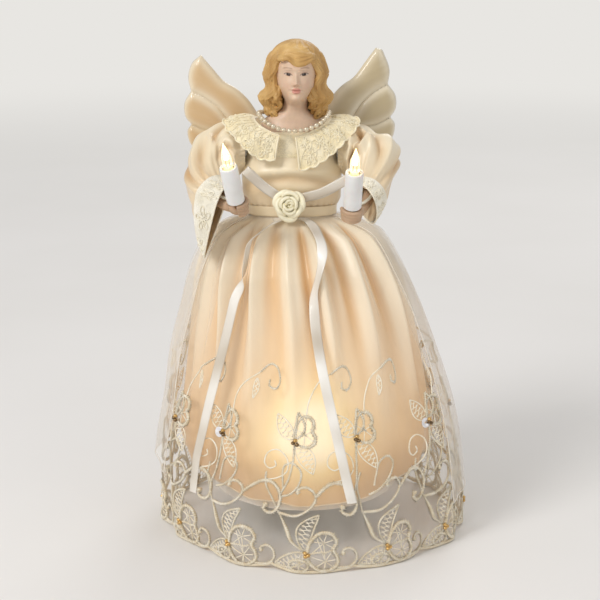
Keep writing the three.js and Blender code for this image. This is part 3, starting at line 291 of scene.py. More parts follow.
class Shader:
    """A node material: a principled surface with helpers for colour, bump and coverage."""

    def __init__(self, name, colour, roughness=0.5, **sockets):
        self.material = bpy.data.materials.new(name)
        self.material.use_nodes = True
        self.tree = self.material.node_tree
        self.tree.nodes.clear()
        self.surface = self.tree.nodes.new("ShaderNodeBsdfPrincipled")
        out = self.tree.nodes.new("ShaderNodeOutputMaterial")
        self.link(self.surface.outputs[0], out.inputs[0])
        self.surface.inputs["Base Color"].default_value = colour
        self.surface.inputs["Roughness"].default_value = roughness
        for key, value in sockets.items():
            self.surface.inputs[key.replace("_", " ")].default_value = value
        self.material.diffuse_color = colour
        self.last_bump = None

    def link(self, a, b):
        self.tree.links.new(a, b)

    def node(self, kind, _out=0, **given):
        """A new node; its inputs are numbers, colours or other nodes' outputs, and the rest are settings."""
        made = self.tree.nodes.new("ShaderNode" + kind)
        for key, value in given.items():
            if key.startswith("i_"):
                place = key[2:]
                socket = made.inputs[int(place)] if place.isdigit() else made.inputs[place.replace("_", " ")]
                if isinstance(value, bpy.types.NodeSocket):
                    self.link(value, socket)
                else:
                    socket.default_value = value
            else:
                setattr(made, key, value)
        return made.outputs[_out]

    def place(self, scale=(1, 1, 1), uv=False):
        """Object position in metres, or the cloth's UV in mm, scaled along each axis."""
        made = self.tree.nodes.new("ShaderNodeTexCoord").outputs["UV" if uv else "Object"]
        return self.node("Mapping", i_Vector=made, i_Scale=scale)

    def math(self, operation, a, b):
        return self.node("Math", operation=operation, i_0=a, i_1=b)

    def ramp(self, factor, stops):
        made = self.tree.nodes.new("ShaderNodeValToRGB")
        self.link(factor, made.inputs[0])
        line = made.color_ramp.elements
        while len(line) < len(stops):
            line.new(0.5)
        for element, (place, colour) in zip(line, stops):
            element.position = place
            element.color = colour if hasattr(colour, "__len__") else (colour, colour, colour, 1)
        return made.outputs[0]

    def mix(self, factor, a, b, blend="MIX"):
        made = self.tree.nodes.new("ShaderNodeMix")
        made.data_type = "RGBA"
        made.blend_type = blend
        for socket, value in ((made.inputs[0], factor), (made.inputs[6], a), (made.inputs[7], b)):
            if isinstance(value, bpy.types.NodeSocket):
                self.link(value, socket)
            else:
                socket.default_value = value
        return made.outputs[2]

    def noise(self, scale, detail, stretch=(1, 1, 1)):
        return self.node("TexNoise", i_Vector=self.place(stretch), i_Scale=scale, i_Detail=detail)

    def colour(self, socket):
        self.link(socket, self.surface.inputs["Base Color"])

    def mottled(self, dark, light, scale, detail, stretch=(1, 1, 1)):
        """Colour that wanders between two tones."""
        self.colour(self.ramp(self.noise(scale, detail, stretch), [(0.3, dark), (0.7, light)]))

    def bump(self, height, strength, distance):
        made = self.tree.nodes.new("ShaderNodeBump")
        made.inputs["Strength"].default_value = strength
        made.inputs["Distance"].default_value = distance * MM
        self.link(height, made.inputs["Height"])
        if self.last_bump:
            self.link(self.last_bump, made.inputs["Normal"])
        self.last_bump = made.outputs[0]
        self.link(self.last_bump, self.surface.inputs["Normal"])

    def weave(self, pitch, strength, distance):
        """Crossing threads at a pitch in mm."""
        threads = [self.node("TexWave", i_Vector=self.place(uv=True), i_Scale=3.14 / pitch / 10,
                             bands_direction=direction) for direction in "XY"]
        self.bump(self.math("MAXIMUM", *threads), strength, distance)

    def coverage(self, socket):
        self.link(socket, self.surface.inputs["Alpha"])


def plain_finish(name, colour, roughness, tones, scale, detail, grain=None, **sockets):
    """A material mottled between two tones; grain is its fine bump: (noise settings), strength and depth."""
    made = Shader(name, colour, roughness, **sockets)
    made.mottled(*tones, scale, detail)
    if grain:
        settings, strength, depth = grain
        made.bump(made.noise(*settings), strength, depth)
    return made.material


# Camera, light and floor
BACKDROP = (232, 230, 226)
CAMERA_PLACE, CAMERA_TILT = (-0.0069, -0.850, 0.3718), 75
FOCAL_LENGTH, SENSOR_WIDTH = 85, 36
# Each light's place and size in metres and its power in watts; all of them face LIGHT_AIM
LIGHTS = {"key": ((-1.15, -1.05, 1.35), 0.7, 19.0), "fill": ((1.3, -1.0, 0.9), 1.2, 4.0),
          "rim": ((0.5, 1.3, 1.3), 0.8, 6.5)}
LIGHT_AIM = (0, 0, 0.15)
WORLD_LIGHT = 0.52
FLOOR_REACH = 15000
FADE_NEAR, FADE_FAR = 0.5, 2.6


def build_studio():
    camera_data = bpy.data.cameras.new("camera")
    camera_data.lens = FOCAL_LENGTH
    camera_data.sensor_width = SENSOR_WIDTH
    camera = bpy.data.objects.new("camera", camera_data)
    camera.location = CAMERA_PLACE
    camera.rotation_euler = (math.radians(CAMERA_TILT), 0, 0)
    bpy.context.scene.collection.objects.link(camera)
    bpy.context.scene.camera = camera
    bpy.context.scene.view_settings.view_transform = "Standard"

    for name, (place, size, watts) in LIGHTS.items():
        lamp = bpy.data.lights.new(name, "AREA")
        lamp.size = size
        lamp.energy = watts
        obj = bpy.data.objects.new(name, lamp)
        obj.location = place
        aim = Vector(LIGHT_AIM) - Vector(place)
        obj.rotation_euler = aim.to_track_quat("-Z", "Y").to_euler()
        bpy.context.scene.collection.objects.link(obj)

    world = bpy.data.worlds.new("world")
    bpy.context.scene.world = world
    world.use_nodes = True
    world.node_tree.nodes.clear()
    nodes, links = world.node_tree.nodes, world.node_tree.links
    path = nodes.new("ShaderNodeLightPath")
    seen, lit = nodes.new("ShaderNodeBackground"), nodes.new("ShaderNodeBackground")
    seen.inputs[0].default_value = rgb(*BACKDROP)
    lit.inputs[0].default_value = (1, 1, 1, 1)
    lit.inputs[1].default_value = WORLD_LIGHT
    mix, out = nodes.new("ShaderNodeMixShader"), nodes.new("ShaderNodeOutputWorld")
    shown = nodes.new("ShaderNodeMath")
    shown.operation = "MAXIMUM"
    links.new(path.outputs["Is Camera Ray"], shown.inputs[0])
    links.new(path.outputs["Is Transmission Ray"], shown.inputs[1])
    links.new(shown.outputs[0], mix.inputs[0])
    links.new(lit.outputs[0], mix.inputs[1])
    links.new(seen.outputs[0], mix.inputs[2])
    links.new(mix.outputs[0], out.inputs[0])

    ground = Shader("floor", rgb(233, 230, 226), 0.85)
    ground.mottled(rgb(231, 228, 224), rgb(236, 233, 230), 3, 3)
    # Far from the object the camera sees the backdrop's own colour, so no horizon shows
    far = ground.node("VectorMath", _out=1, operation="LENGTH", i_0=ground.place())
    far = ground.node("MapRange", interpolation_type="SMOOTHSTEP", i_Value=far, i_1=FADE_NEAR,
                      i_2=FADE_FAR)
    path = ground.tree.nodes.new("ShaderNodeLightPath")
    seen_by = ground.math("MAXIMUM", path.outputs["Is Camera Ray"], path.outputs["Is Transmission Ray"])
    plain = ground.node("Emission", i_Color=rgb(*BACKDROP))
    both = ground.node("MixShader", i_0=ground.math("MULTIPLY", far, seen_by), i_1=ground.surface.outputs[0],
                       i_2=plain)
    ground.link(both, ground.tree.nodes["Material Output"].inputs[0])
    corners = [(FLOOR_REACH * x, FLOOR_REACH * y, 0) for x, y in ((-1, -1), (1, -1), (1, 1), (-1, 1))]
    floor = mesh_piece("floor", corners, [(0, 1, 2, 3)], ground.material, None)


# Skirt stations from the part: height, half width and the section's sideways centre, from the hem up
SATIN = [(34, 82.5, -2.8), (49, 81, -2.9), (75, 77.5, -3.2), (108, 71, -4), (141, 63.5, -5.6),
         (170, 54.8, -8.8), (186, 46.4, -10.2), (193, 38.6, -11), (198.8, 26.6, -12)]
OVERSKIRT = [(0, 95.5, 0), (26, 94.5, 0), (55, 91, -1.2), (85, 85.8, -2.6), (118, 77.6, -4.8),
             (148, 67, -6.8), (170, 58.2, -9), (187, 48.8, -10), (193.4, 41, -10.9), (199, 28.4, -12)]
OVERLAY = [(24, 98.5, -1.5), (58, 94.9, -2), (85, 89.4, -2.3), (118, 81.6, -4.7), (148, 71, -6.6),
           (170, 61.6, -8.9), (187.6, 51.2, -9.6), (193.8, 43.4, -10.7), (199.2, 30.2, -12)]
GATHERS = waves(3, [19, 23, 29, 31, 37, 43], 1.0)
PLEATS = waves(8, [6, 8, 11, 14], 1.0)
CREASES = waves(21, [34, 41, 47, 58, 66], 1.0)
# Height of each layer's top, and of the satin's hem in front with how far it rises at the sides
SATIN_TOP, OVERSKIRT_TOP, OVERLAY_TOP = 200.6, 200.8, 199.2
SATIN_HEM, SATIN_HEM_RISE = 34.5, 17
# The lamps under the skirt: direction in degrees and height of the tip; one of them shines brightest
LAMPS = [(-113, 60), (-85, 60), (-57, 86), (-10, 60), (37, 60), (84, 60), (131, 60), (185, 60)]
BRIGHT_LAMP = 1
# The cone that carries them: height and radius of its top, and how much wider it gets over what drop
CONE_TOP, CONE_TOP_RADIUS, CONE_WIDENS, CONE_DROP = 186, 12.4, 45.6, 158


def gathers(angle, z):
    """Soft folds drawn in at the waist, uneven in width, that open out and fade towards the hem."""
    phase = 17 * (angle + math.radians(94)) + 0.7 * np.sin(3 * angle + 0.5) + 0.5 * np.sin(5 * angle + 1.1)
    fold = 1 - 2 * np.abs(np.sin(phase / 2)) ** 1.4 + 0.2 * np.cos(2 * phase + 0.8)
    fold = fold + 0.3 * np.cos(29 * angle + 1.3) * smooth((z - 120) / 50)
    near = smooth((z - 70) / 95)
    return fold * smooth((WAIST_Z - z) / 10) * (0.16 + 0.84 * near)


def skirt(layer, angle, z, lift=0.0, loose=1.0, drawn=5.0):
    """A place on a skirt layer; loose scales its own folds and drawn is the depth of the shared ones."""
    angle, z = np.broadcast_arrays(np.asarray(angle, float), np.asarray(z, float))
    half, x = stations(layer, z)
    fall = np.clip((WAIST_Z - z) / 30, 0, 1)
    drawn_in = smooth((z - 195.5) / 3.5)
    ratio = 0.72 + 0.16 * fall - 0.085 * drawn_in
    spread, low = np.clip((WAIST_Z - z) / 24, 0, 1), np.clip((WAIST_Z - z) / 120, 0, 1)
    r = half + lift - 1.2 * drawn_in + 1.5 * low * np.cos(REPEATS * angle)
    r = r + 1.2 * low * np.cos(5 * angle + 1) + drawn * gathers(angle, z)
    near = spread * (1 - low)
    r = r + loose * (0.6 * near * GATHERS(angle, z) + 0.7 * spread * PLEATS(angle, z) * (1 - 0.3 * low)
                     + 0.3 * near**2 * CREASES(angle, z))
    return np.stack([x + r * np.cos(angle), ratio * r * np.sin(angle), z + 0 * r], axis=-1)


def tuck(angle, z):
    """How far the overskirt's hem is drawn in at the viewer's left."""
    away = (np.degrees(angle) + 148 + 180) % 360 - 180
    return 8 * np.clip(1 - z / 60, 0, 1) * bell(away, 24)


def overskirt(angle, z, lift=0.0, loose=0.55):
    """A place on the embroidered layer."""
    return skirt(OVERSKIRT, angle, z, lift - tuck(angle, z), loose)


def hem_height(angle):
    """Height of the overskirt's scalloped edge."""
    scallop = 1 - np.abs(np.cos(REPEATS / 2 * angle)) ** 0.45
    return np.maximum(3.4 * scallop - 0.5, 0)


def glow_lamps():
    """Where the lamps under the skirt shine."""
    places = []
    for degrees, tip in LAMPS:
        lean = FIGURE_X + max(193.7 - tip, 0) * 0.048
        r = CONE_TOP_RADIUS + CONE_WIDENS * (CONE_TOP - tip) / CONE_DROP + 6.5
        angle = math.radians(degrees)
        places.append((lean + r * math.cos(angle), r * math.sin(angle), tip + 6))
    return places


def cloth_shader(name, dark, light, roughness, weave_pitch, sheen=0.3, fold_shade=None, **more):
    """Woven cloth; its optional darker colour is painted shade for the valleys between its folds."""
    made = Shader(name, light, roughness, Sheen_Weight=sheen, Sheen_Roughness=0.4, **more)
    tone = made.ramp(made.noise(9, 3, (1, 1, 0.5)), [(0.3, dark), (0.7, light)])
    if fold_shade:
        # Painted shade: where the mesh marks fold valleys, the colour darkens
        tone = made.mix(made.node("Attribute", _out=2, attribute_name="fold"), fold_shade, tone)
    made.colour(tone)
    made.weave(weave_pitch, 0.25, 0.06)
    made.bump(made.noise(60, 3, (1, 1, 0.35)), 0.12, 0.4)
    return made


def mark_fold_shade(obj, depth):
    """Stores where the shader paints shade into the valleys: depth is 0 outside them and 1 at their deepest."""
    layer = obj.data.attributes.new("fold", "FLOAT", "POINT")
    layer.data.foreach_set("value", (1 - np.clip(depth, 0, 1)).astype(np.float32).ravel())


def lit_satin():
    """Ivory satin with the lamps' warm glow painted on as emission, painted shade towards the hem and painted
    shade in its fold valleys.
    """
    made = cloth_shader("satin_lit", rgb(245, 229, 200), rgb(252, 242, 221), 0.28, 0.35,
                        fold_shade=rgb(228, 182, 118))
    at = made.tree.nodes.new("ShaderNodeTexCoord").outputs["Object"]
    rise = made.node("SeparateXYZ", _out=2, i_Vector=at)
    # Painted shade: the satin darkens towards the hem
    hem_shade = made.node("MapRange", i_Value=rise, i_1=0.15, i_2=0.06, i_3=0.0, i_4=0.95)
    made.colour(made.mix(hem_shade, made.surface.inputs["Base Color"].links[0].from_socket, rgb(210, 174, 130)))
    # Painted light: an emission glow, brightest near each lamp under the skirt
    total = None
    for k, (x, y, z) in enumerate(glow_lamps()):
        away = made.node("VectorMath", operation="SUBTRACT", i_0=at, i_1=(x * MM, y * MM, z * MM + 0.008))
        away = made.node("VectorMath", operation="MULTIPLY", i_0=away, i_1=(1, 1, 0.55))
        gap = made.node("VectorMath", _out=1, operation="LENGTH", i_0=away)
        strength, softness = (1.55, 0.0002) if k == BRIGHT_LAMP else (0.34, 0.0005)
        square = made.math("MULTIPLY", gap, gap)
        spot = made.math("DIVIDE", 0.0003 * strength, made.math("ADD", square, softness))
        total = spot if total is None else made.math("ADD", total, spot)
    upper = made.node("MapRange", i_Value=rise, i_1=0.18, i_2=0.07, i_3=0.1, i_4=1.0)
    glow = made.math("MULTIPLY", total, upper)
    glow = made.math("ADD", glow, made.math("MULTIPLY", upper, 0.06))
    hem = made.node("MapRange", i_Value=rise, i_1=0.03, i_2=0.075, i_3=0.25, i_4=1.0)
    glow = made.math("MULTIPLY", glow, hem)
    warm = made.ramp(glow, [(0.0, rgb(236, 146, 76)), (0.3, rgb(248, 190, 104)), (0.75, rgb(255, 230, 156)),
                            (1.0, rgb(255, 248, 214))])
    made.link(warm, made.surface.inputs["Emission Color"])
    made.link(made.math("MULTIPLY", glow, 0.5), made.surface.inputs["Emission Strength"])
    return made.material


def organza(name, tint_dark, tint_light, thin, thick):
    """Sheer cloth: an even part coverage, broken into fine upright streaks."""
    made = Shader(name, tint_light, 0.45, Sheen_Weight=0.35, Sheen_Roughness=0.3)
    made.mottled(tint_dark, tint_light, 14, 3, (1, 1, 0.4))
    streaks = made.noise(110, 2, (1, 1, 0.1))
    made.coverage(made.node("MapRange", i_Value=streaks, i_1=0.3, i_2=0.72, i_3=thin, i_4=thick))
    made.bump(made.noise(70, 3, (1, 1, 0.35)), 0.15, 0.3)
    return made.material


def build_skirts():
    angle = turn_evenly(420)
    t = np.linspace(0, 1, 110)[:, None]
    eased = 0.35 * t**2 + 0.65 * t

    def heights(top, bottom):
        return top + (bottom - top) * eased

    z = heights(SATIN_TOP, SATIN_HEM + SATIN_HEM_RISE * np.abs(np.cos(angle[None])) ** 3)
    satin = skirt(SATIN, angle[None], z, -9 * smooth((68 - z) / 32))
    under = cloth_grid("satin_underskirt_cloth", satin, lit_satin(), wrap=True)
    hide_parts("satin_underskirt")
    # Painted shade in the valleys of the gathers
    mark_fold_shade(under, 0.9 * np.clip(-gathers(angle[None], z), 0, 1))
    edge = cloth_shader("satin_edge", rgb(230, 206, 170), rgb(244, 226, 196), 0.4, 0.4)
    hem = mesh_piece("satin_hem", *tubes([(satin[-1], 0.45, True)]), edge.material)

    z = heights(OVERSKIRT_TOP, hem_height(angle)[None])
    sheer = organza("organza_front", rgb(238, 226, 206), rgb(248, 240, 226), 0.12, 0.2)
    over = cloth_grid("overskirt_organza", overskirt(angle[None], z), sheer, wrap=True)
    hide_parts("embroidered_overskirt")

    angle = np.radians(np.linspace(-27, 207, 300))
    z = heights(OVERLAY_TOP, (35 - 11 * np.cos(angle))[None])
    plain = organza("organza_outer", rgb(238, 230, 216), rgb(248, 242, 232), 0.3, 0.38)
    points = skirt(OVERLAY, angle[None], z, 0, 0.45, 1.8)
    outer = cloth_grid("overlay_organza", points, plain)
    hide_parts("organza_overlay")
    edge = [(points[:, 0], 0.3, False), (points[:, -1], 0.3, False), (points[-1], 0.3, False)]
    thread = plain_thread("rolled_edge", rgb(226, 216, 200), rgb(242, 234, 222))
    rolled = mesh_piece("overlay_rolled_edge", *tubes(edge), thread)
    return over


def plain_thread(name, dark, light):
    """Spun thread, used for cords, stitches and lace flowers."""
    return plain_finish(name, light, 0.6, (dark, light), 260, 3, ((1100, 2), 1.0, 0.4),
                        Sheen_Weight=0.5, Sheen_Roughness=0.35)


# Bodice, sleeves and collar. The bodice's stations: height, half width and half depth
BODICE = [(200.6, 25.8, 15.4), (208, 26.2, 16), (218, 26.6, 17.6), (228, 26.8, 18.2), (240, 26.3, 15.6),
          (246.5, 23, 14.2), (250.5, 21.2, 13.4)]
# Each sleeve's side and its stations from armhole to cuff: distance out from the figure's middle, y, z, heading
# and dip in degrees, half width, and its reach above and below its middle line
SLEEVES = {
    "left": (1, [
        (27.6, 0, 240, 0, 0, 12.4, 12.4, 12.4), (34, 0, 240, 4, 2, 14.2, 13.6, 15),
        (45, -2, 237, 32, 14, 16, 14, 17), (51, -11, 231, 70, 22, 15.5, 13.5, 15),
        (47.6, -24, 219, 114, 26, 10.8, 11, 13), (43.6, -33.4, 212.6, 150, 16, 10.2, 9.5, 12.5)]),
    "right": (-1, [
        (27.6, 0, 240, 0, 0, 12.4, 12.4, 12.4), (34, 0, 240, 4, 2, 14.2, 13.6, 15),
        (45, -3, 236.6, 35, 14, 15.5, 14, 18), (50, -14, 228.5, 74, 17, 14, 13, 24),
        (48.6, -28, 219.5, 122, 20, 12.6, 11.5, 32), (40.6, -37.5, 213.6, 166, 18, 9.8, 8.5, 35)]),
}
# Creases: direction round the sleeve, its change along the sleeve, place and length along it, depth
SLEEVE_CREASES = {
    "left": [(2.2, 3.0, 0.3, 0.16, 2.2), (0.9, -2.5, 0.38, 0.14, 2.4), (1.5, 1.5, 0.55, 0.14, 1.8),
             (0.1, 2.5, 0.42, 0.16, 2.6), (-0.5, 3.0, 0.6, 0.14, 1.8), (2.9, -2.0, 0.6, 0.16, 1.6),
             (-1.6, 1.0, 0.7, 0.18, 1.6), (-2.5, 1.6, 0.5, 0.18, 1.6)],
    "right": [(2.4, 2.0, 0.28, 0.16, 1.8), (1.4, -2.0, 0.36, 0.16, 2.0), (0.5, 2.4, 0.44, 0.18, 2.0),
              (2.9, -1.6, 0.62, 0.2, 1.6), (1.9, 1.4, 0.7, 0.18, 1.5), (-0.4, 2.0, 0.5, 0.16, 2.0),
              (-2.2, 1.2, 0.7, 0.2, 1.5), (-2.9, -1.4, 0.45, 0.18, 1.6)],
}
# How strongly each sleeve is puffed in rings at its middle and pinched on the way to its cuff, in mm
SLEEVE_ROLL = {"left": 2.2, "right": 0.7}
SLEEVE_PINCH = {"left": 4.0, "right": 1.5}
# Where each cuff's lace starts along the sleeve
CUFF_START = 0.86


def sleeve(which, angle, along, lift=0.0):
    """A place on a sleeve: the angle runs round it and along goes from the armhole, 0, to the cuff, 1."""
    side, plan = SLEEVES[which]
    angle, along = np.broadcast_arrays(np.asarray(angle, float), np.asarray(along, float))
    row = hermite(range(6), plan, np.clip(along, 0, 1) * 5)
    reach, y, z, heading, dip, wide, top, bottom = np.moveaxis(row, -1, 0)
    heading, dip = np.radians(heading), np.radians(dip)
    droop = np.maximum(bottom - wide, 0) / bottom
    rise = np.sin(angle)
    narrow = 1 - 0.7 * droop * np.maximum(-rise, 0) ** 1.5
    across = (wide + lift) * narrow * np.cos(angle)
    upward = (np.where(rise > 0, top, bottom) + lift) * rise
    px = reach - np.sin(heading) * across + np.cos(heading) * np.sin(dip) * upward
    py = y - np.cos(heading) * across - np.sin(heading) * np.sin(dip) * upward
    pz = z + np.cos(dip) * upward
    return np.stack([FIGURE_X + side * px, py, pz], axis=-1)


def build_bodice():
    shader = cloth_shader("satin_bodice", rgb(240, 222, 186), rgb(251, 238, 210), 0.3, 0.35,
                          fold_shade=rgb(204, 166, 116))
    angle = turn_evenly(240)
    z = np.linspace(BODICE[0][0], BODICE[-1][0], 90)[:, None]
    half, deep = stations(BODICE, z)
    pull = waves(5, [3, 5, 8, 11], 1.0)(angle[None], z * 6)
    front = np.clip(-np.sin(angle[None]), 0, 1)
    sag = z + 5.0 * np.abs(np.cos(angle[None])) ** 1.5
    drape = (1.9 * bell(sag - 229, 3.2) - 1.3 * bell(sag - 223.5, 2.8)
             + 0.7 * bell(sag - 217.5, 3.2)) * front
    gather = np.cos(34 * angle[None] + 0.08 * z) * smooth((213 - z) / 10) * 0.45
    swell = 0.3 * pull * smooth((z - 201) / 8) * smooth((250 - z) / 8) + drape + gather + 0.2
    swell = swell + 3.2 * np.cos(angle[None]) ** 2 * smooth((z - 202) / 8) * smooth((238 - z) / 10)
    points = np.stack([FIGURE_X + (half + swell) * np.cos(angle), (deep + swell) * np.sin(angle),
                       z + 0 * swell], axis=-1)
    bodice = cloth_grid("bodice_satin", points, shader.material, wrap=True)
    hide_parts("bodice")
    # Painted shade under the fold of the drape, and more of it lower down towards the waist
    mark_fold_shade(bodice, 0.55 * bell(sag - 223, 3.4) * front + 0.35 * smooth((221 - z) / 7))


def lace_net(name, dark, light):
    """Fine net with a denser flower ground, as coverage in the cloth's own millimetres."""
    made = Shader(name, light, 0.7, Sheen_Weight=0.4, Sheen_Roughness=0.4)
    made.mottled(dark, light, 90, 2)
    cell = made.node("TexVoronoi", i_Vector=made.place(uv=True), i_Scale=1.15, feature="DISTANCE_TO_EDGE")
    net = made.math("LESS_THAN", cell, 0.11)
    patch = made.node("TexVoronoi", i_Vector=made.place(uv=True), i_Scale=0.19, feature="SMOOTH_F1")
    flower = made.math("LESS_THAN", patch, 0.36)
    cover = made.math("MAXIMUM", net, flower)
    made.coverage(made.node("MapRange", i_Value=cover, i_3=0.84, i_4=1.0))
    made.bump(cell, 0.5, 0.25)
    return made.material


def flower_threads(place, u, v, size, turn, petals, thick):
    """A flower of looped threads on a surface; place(u, v, lift) takes mm along the cloth."""
    paths = []
    for k in range(petals):
        a0 = turn + k / petals * 2 * math.pi
        t = np.linspace(0, 1, 15)
        r = size * np.sin(math.pi * t) ** 0.7
        swing = (t - 0.5) * 1.15
        pu, pv = u + r * np.cos(a0 + swing), v + r * np.sin(a0 + swing)
        paths.append((place(pu, pv, thick), thick, False))
        inner = 0.55 * r
        paths.append((place(u + inner * np.cos(a0 + swing * 0.7), v + inner * np.sin(a0 + swing * 0.7),
                            thick * 0.7), thick * 0.6, False))
    t = turn_evenly(9)
    paths.append((place(u + size * 0.16 * np.cos(t), v + size * 0.16 * np.sin(t), thick), thick * 1.2, True))
    return paths


def build_sleeves():
    satin = cloth_shader("satin_sleeve", rgb(236, 216, 180), rgb(248, 236, 210), 0.3, 0.35,
                         fold_shade=rgb(206, 164, 108)).material
    thread = plain_thread("lace_thread", rgb(240, 230, 204), rgb(252, 246, 230))
    net = lace_net("lace_net_sleeve", rgb(234, 226, 204), rgb(249, 244, 230))
    for which, (side, _) in SLEEVES.items():
        body, node = f"{which}_arm", f"sleeve_{which}"
        angle = turn_evenly(168)
        along = np.linspace(0, 1, 96)[:, None]
        fold = waves(31 + side, [2, 3, 5, 7, 9], 1.0)
        fine = waves(41 + side, [11, 14, 17, 22], 1.0)
        rings = waves(51 + side, [1, 2, 3], 1.0)
        body_of_sleeve = smooth(along / 0.12) * smooth((1.04 - along) / 0.12)
        roll = np.cos(along * 23 + 1.2 * np.sin(angle + side)) * bell(along - 0.42, 0.16)
        lift = body_of_sleeve * (1.1 * fold(angle[None], along * 160) + 0.35 * fine(angle[None], along * 200)
                                 + SLEEVE_ROLL[which] * roll
                                 + 0.7 * rings(angle[None], along * 420))
        crease_shade = 0 * lift
        for at, slope, middle, length, deep in SLEEVE_CREASES[which]:
            away = (angle[None] - at - slope * (along - middle) + math.pi) % (2 * math.pi) - math.pi
            reach = bell(along - middle, length)
            crease_shade = crease_shade + deep / 2.2 * bell(away, 0.2) * reach
            lift = lift - 1.25 * deep * bell(away, 0.16) * reach
            lift = lift + 0.8 * deep * bell(away - 0.34, 0.2) * reach
        sag = np.maximum(np.cos(angle + 0.8), 0)[None] ** 1.5 * bell(along - 0.27, 0.15)
        pinch = np.maximum(-np.cos(angle - 0.6), 0)[None] * bell(along - 0.68, 0.12)
        lift = lift + 5.5 * sag - SLEEVE_PINCH[which] * pinch
        lift = lift + 0.5 * np.cos(30 * angle)[None] * bell(along - 0.05, 0.06)
        # Near the cuff the satin stays under its lace
        lift = lift - np.maximum(lift - 0.4, 0) * smooth((along - 0.82) / 0.05)
        points = sleeve(which, angle[None], along, lift)
        cloth = cloth_grid(f"sleeve_{which}_satin", points, satin, None, True, side < 0)
        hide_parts(node)
        # Painted shade in the creases and the pinch, and more of it towards the cuff
        mark_fold_shade(cloth, 0.8 * crease_shade + 0.5 * pinch + 0.25 * smooth((along - 0.5) / 0.4))
        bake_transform(cloth)

        band = np.linspace(CUFF_START, 1.0, 10)[:, None]
        cuff = sleeve(which, angle[None], band, 1.0 + lift[-1][None] * 0.4)
        lace = cloth_grid(f"sleeve_{which}_lace", cuff, net, body, True, side < 0)
        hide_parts(f"sleeve_lace_{which}")

        def on_cuff(u, v, raised):
            return sleeve(which, np.asarray(u) / 13.5, 0.93 + np.asarray(v) / 62, 1.0 + np.asarray(raised))

        paths = []
        for k in range(9):
            paths += flower_threads(on_cuff, k * 9.42, 0.4, 3.3, k * 0.7, 5, 0.3)
        edge = sleeve(which, angle, 1.0, 1.1 + 0.35 * np.abs(np.sin(angle * 20)))
        paths.append((edge, 0.5, True))
        trim = mesh_piece(f"sleeve_{which}_embroidery", *tubes(paths), thread, body)


# Each collar: its line round the neck, its free edge and its flat width and depth in metres
COLLARS = {
    "left": ([(2.4, -19, 248.2), (10, -17.8, 250.6), (18.5, -12.6, 254.2), (22, -3, 256.6), (20, 9, 256.2)],
             [(4.6, -22.4, 229.4), (15, -22.8, 233), (30.5, -18, 245), (40, -3, 255), (33, 11, 256.5)],
             (0.062, 0.018)),
    "right": ([(7, -18.4, 249.2), (12, -17.4, 251), (18.5, -12.6, 254.2), (22, -3, 256.6), (20, 9, 256.2)],
              [(9.5, -21.4, 235.4), (19, -21.6, 236.4), (30.5, -18, 245.5), (40, -3, 255), (33, 11, 256.5)],
              (0.06, 0.016)),
}
# The thread flowers on a collar: place along it and down from the neck, and size, in mm
COLLAR_FLOWERS = [(6, 5, 3.6), (7, 12.5, 4.2), (15, 8, 4.4), (18.5, 14, 3.4), (24, 6, 3.6), (28, 12, 4.4),
                  (36, 8, 4.0), (43, 12.5, 4.0), (49, 6.5, 3.6), (55, 12, 3.8)]


def collar_edge(t):
    """How far down the collar its scalloped free edge lies, as a share of its width."""
    return 1 + 0.06 * np.abs(np.sin(t * 33))


def build_collars():
    net = lace_net("lace_net_collar", rgb(240, 225, 184), rgb(250, 239, 210))
    thread = plain_thread("collar_thread", rgb(242, 228, 190), rgb(253, 244, 218))
    bound = cloth_shader("collar_binding", rgb(238, 224, 190), rgb(250, 240, 214), 0.4, 0.35).material
    for which, side in (("left", 1), ("right", -1)):
        ruffle = waves(61 + side, [9, 14, 19], 1.0)
        neck_line, free_line, flat = COLLARS[which]
        neck, free = curve(neck_line, 200), curve(free_line, 200)

        def on_collar(t, v, raised, lines=(neck, free)):
            t, v, raised = np.broadcast_arrays(*(np.asarray(q, float) for q in (t, v, raised)))
            k = np.clip(t, 0, 1) * 199
            a, b = (np.stack([np.interp(k, range(200), column) for column in line.T], axis=-1)
                    for line in lines)
            p = a + (b - a) * v[..., None]
            wave = 1.1 * np.cos(t * 27 + side) * v + 0.9 * ruffle(t * 2.6, v * 30) * v
            arch = np.sin(math.pi * np.clip(v, 0, 1))
            p[..., 2] += 1.6 * arch + raised * 0.75
            p[..., 1] -= 0.8 * arch * (1 - t) + wave * 0.8 + raised * (1 - t)
            p[..., 2] += wave * t
            p[..., 0] = FIGURE_X + side * (p[..., 0] + raised * 0.3)
            return p

        t, v = np.linspace(0, 1, 150)[None], np.linspace(0, 1, 40)[:, None]
        points = on_collar(t, v * collar_edge(t), 0.35)
        cloth = cloth_grid(f"collar_{which}_lace", points, net, flip=side > 0)
        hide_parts(f"collar_{which}")

        def on_lace(u, w, raised):
            return on_collar(np.asarray(u) / 60, np.asarray(w) / 17, 0.35 + np.asarray(raised))

        paths = []
        for k, (u, w, size) in enumerate(COLLAR_FLOWERS):
            paths += flower_threads(on_lace, u, w, size, k * 1.1, 6 if k % 2 else 5, 0.32)
        for k in range(12):
            s = np.linspace(0, 1, 14)
            u = 3 + k * 4.7 + 2.4 * np.sin(s * 5)
            paths.append((on_lace(u, 2 + 14 * s, 0.25), 0.24, False))
        t = np.linspace(0, 1, 260)
        paths.append((on_collar(t, collar_edge(t), 0.5), 0.55, False))
        trim = mesh_piece(f"collar_{which}_embroidery", *tubes(paths), thread)
        v = np.linspace(0, 1, 40)
        ends = [(on_collar(0 * v, v, 0.4), 0.5, False), (on_collar(t, 0 * t, 0.3), 0.5, False)]
        binding = mesh_piece(f"collar_{which}_binding", *tubes(ends, 8), bound)

    # The small yoke of lace in the middle of the neckline
    angle = np.radians(np.linspace(-112, -68, 40))[None]
    z = np.linspace(236, 249, 20)[:, None]
    half, deep = (size + 0.9 for size in stations(BODICE, z))
    points = np.stack([FIGURE_X + half * np.cos(angle), deep * np.sin(angle), z + 0 * angle], axis=-1)
    yoke = cloth_grid("neck_yoke_lace", points, net)


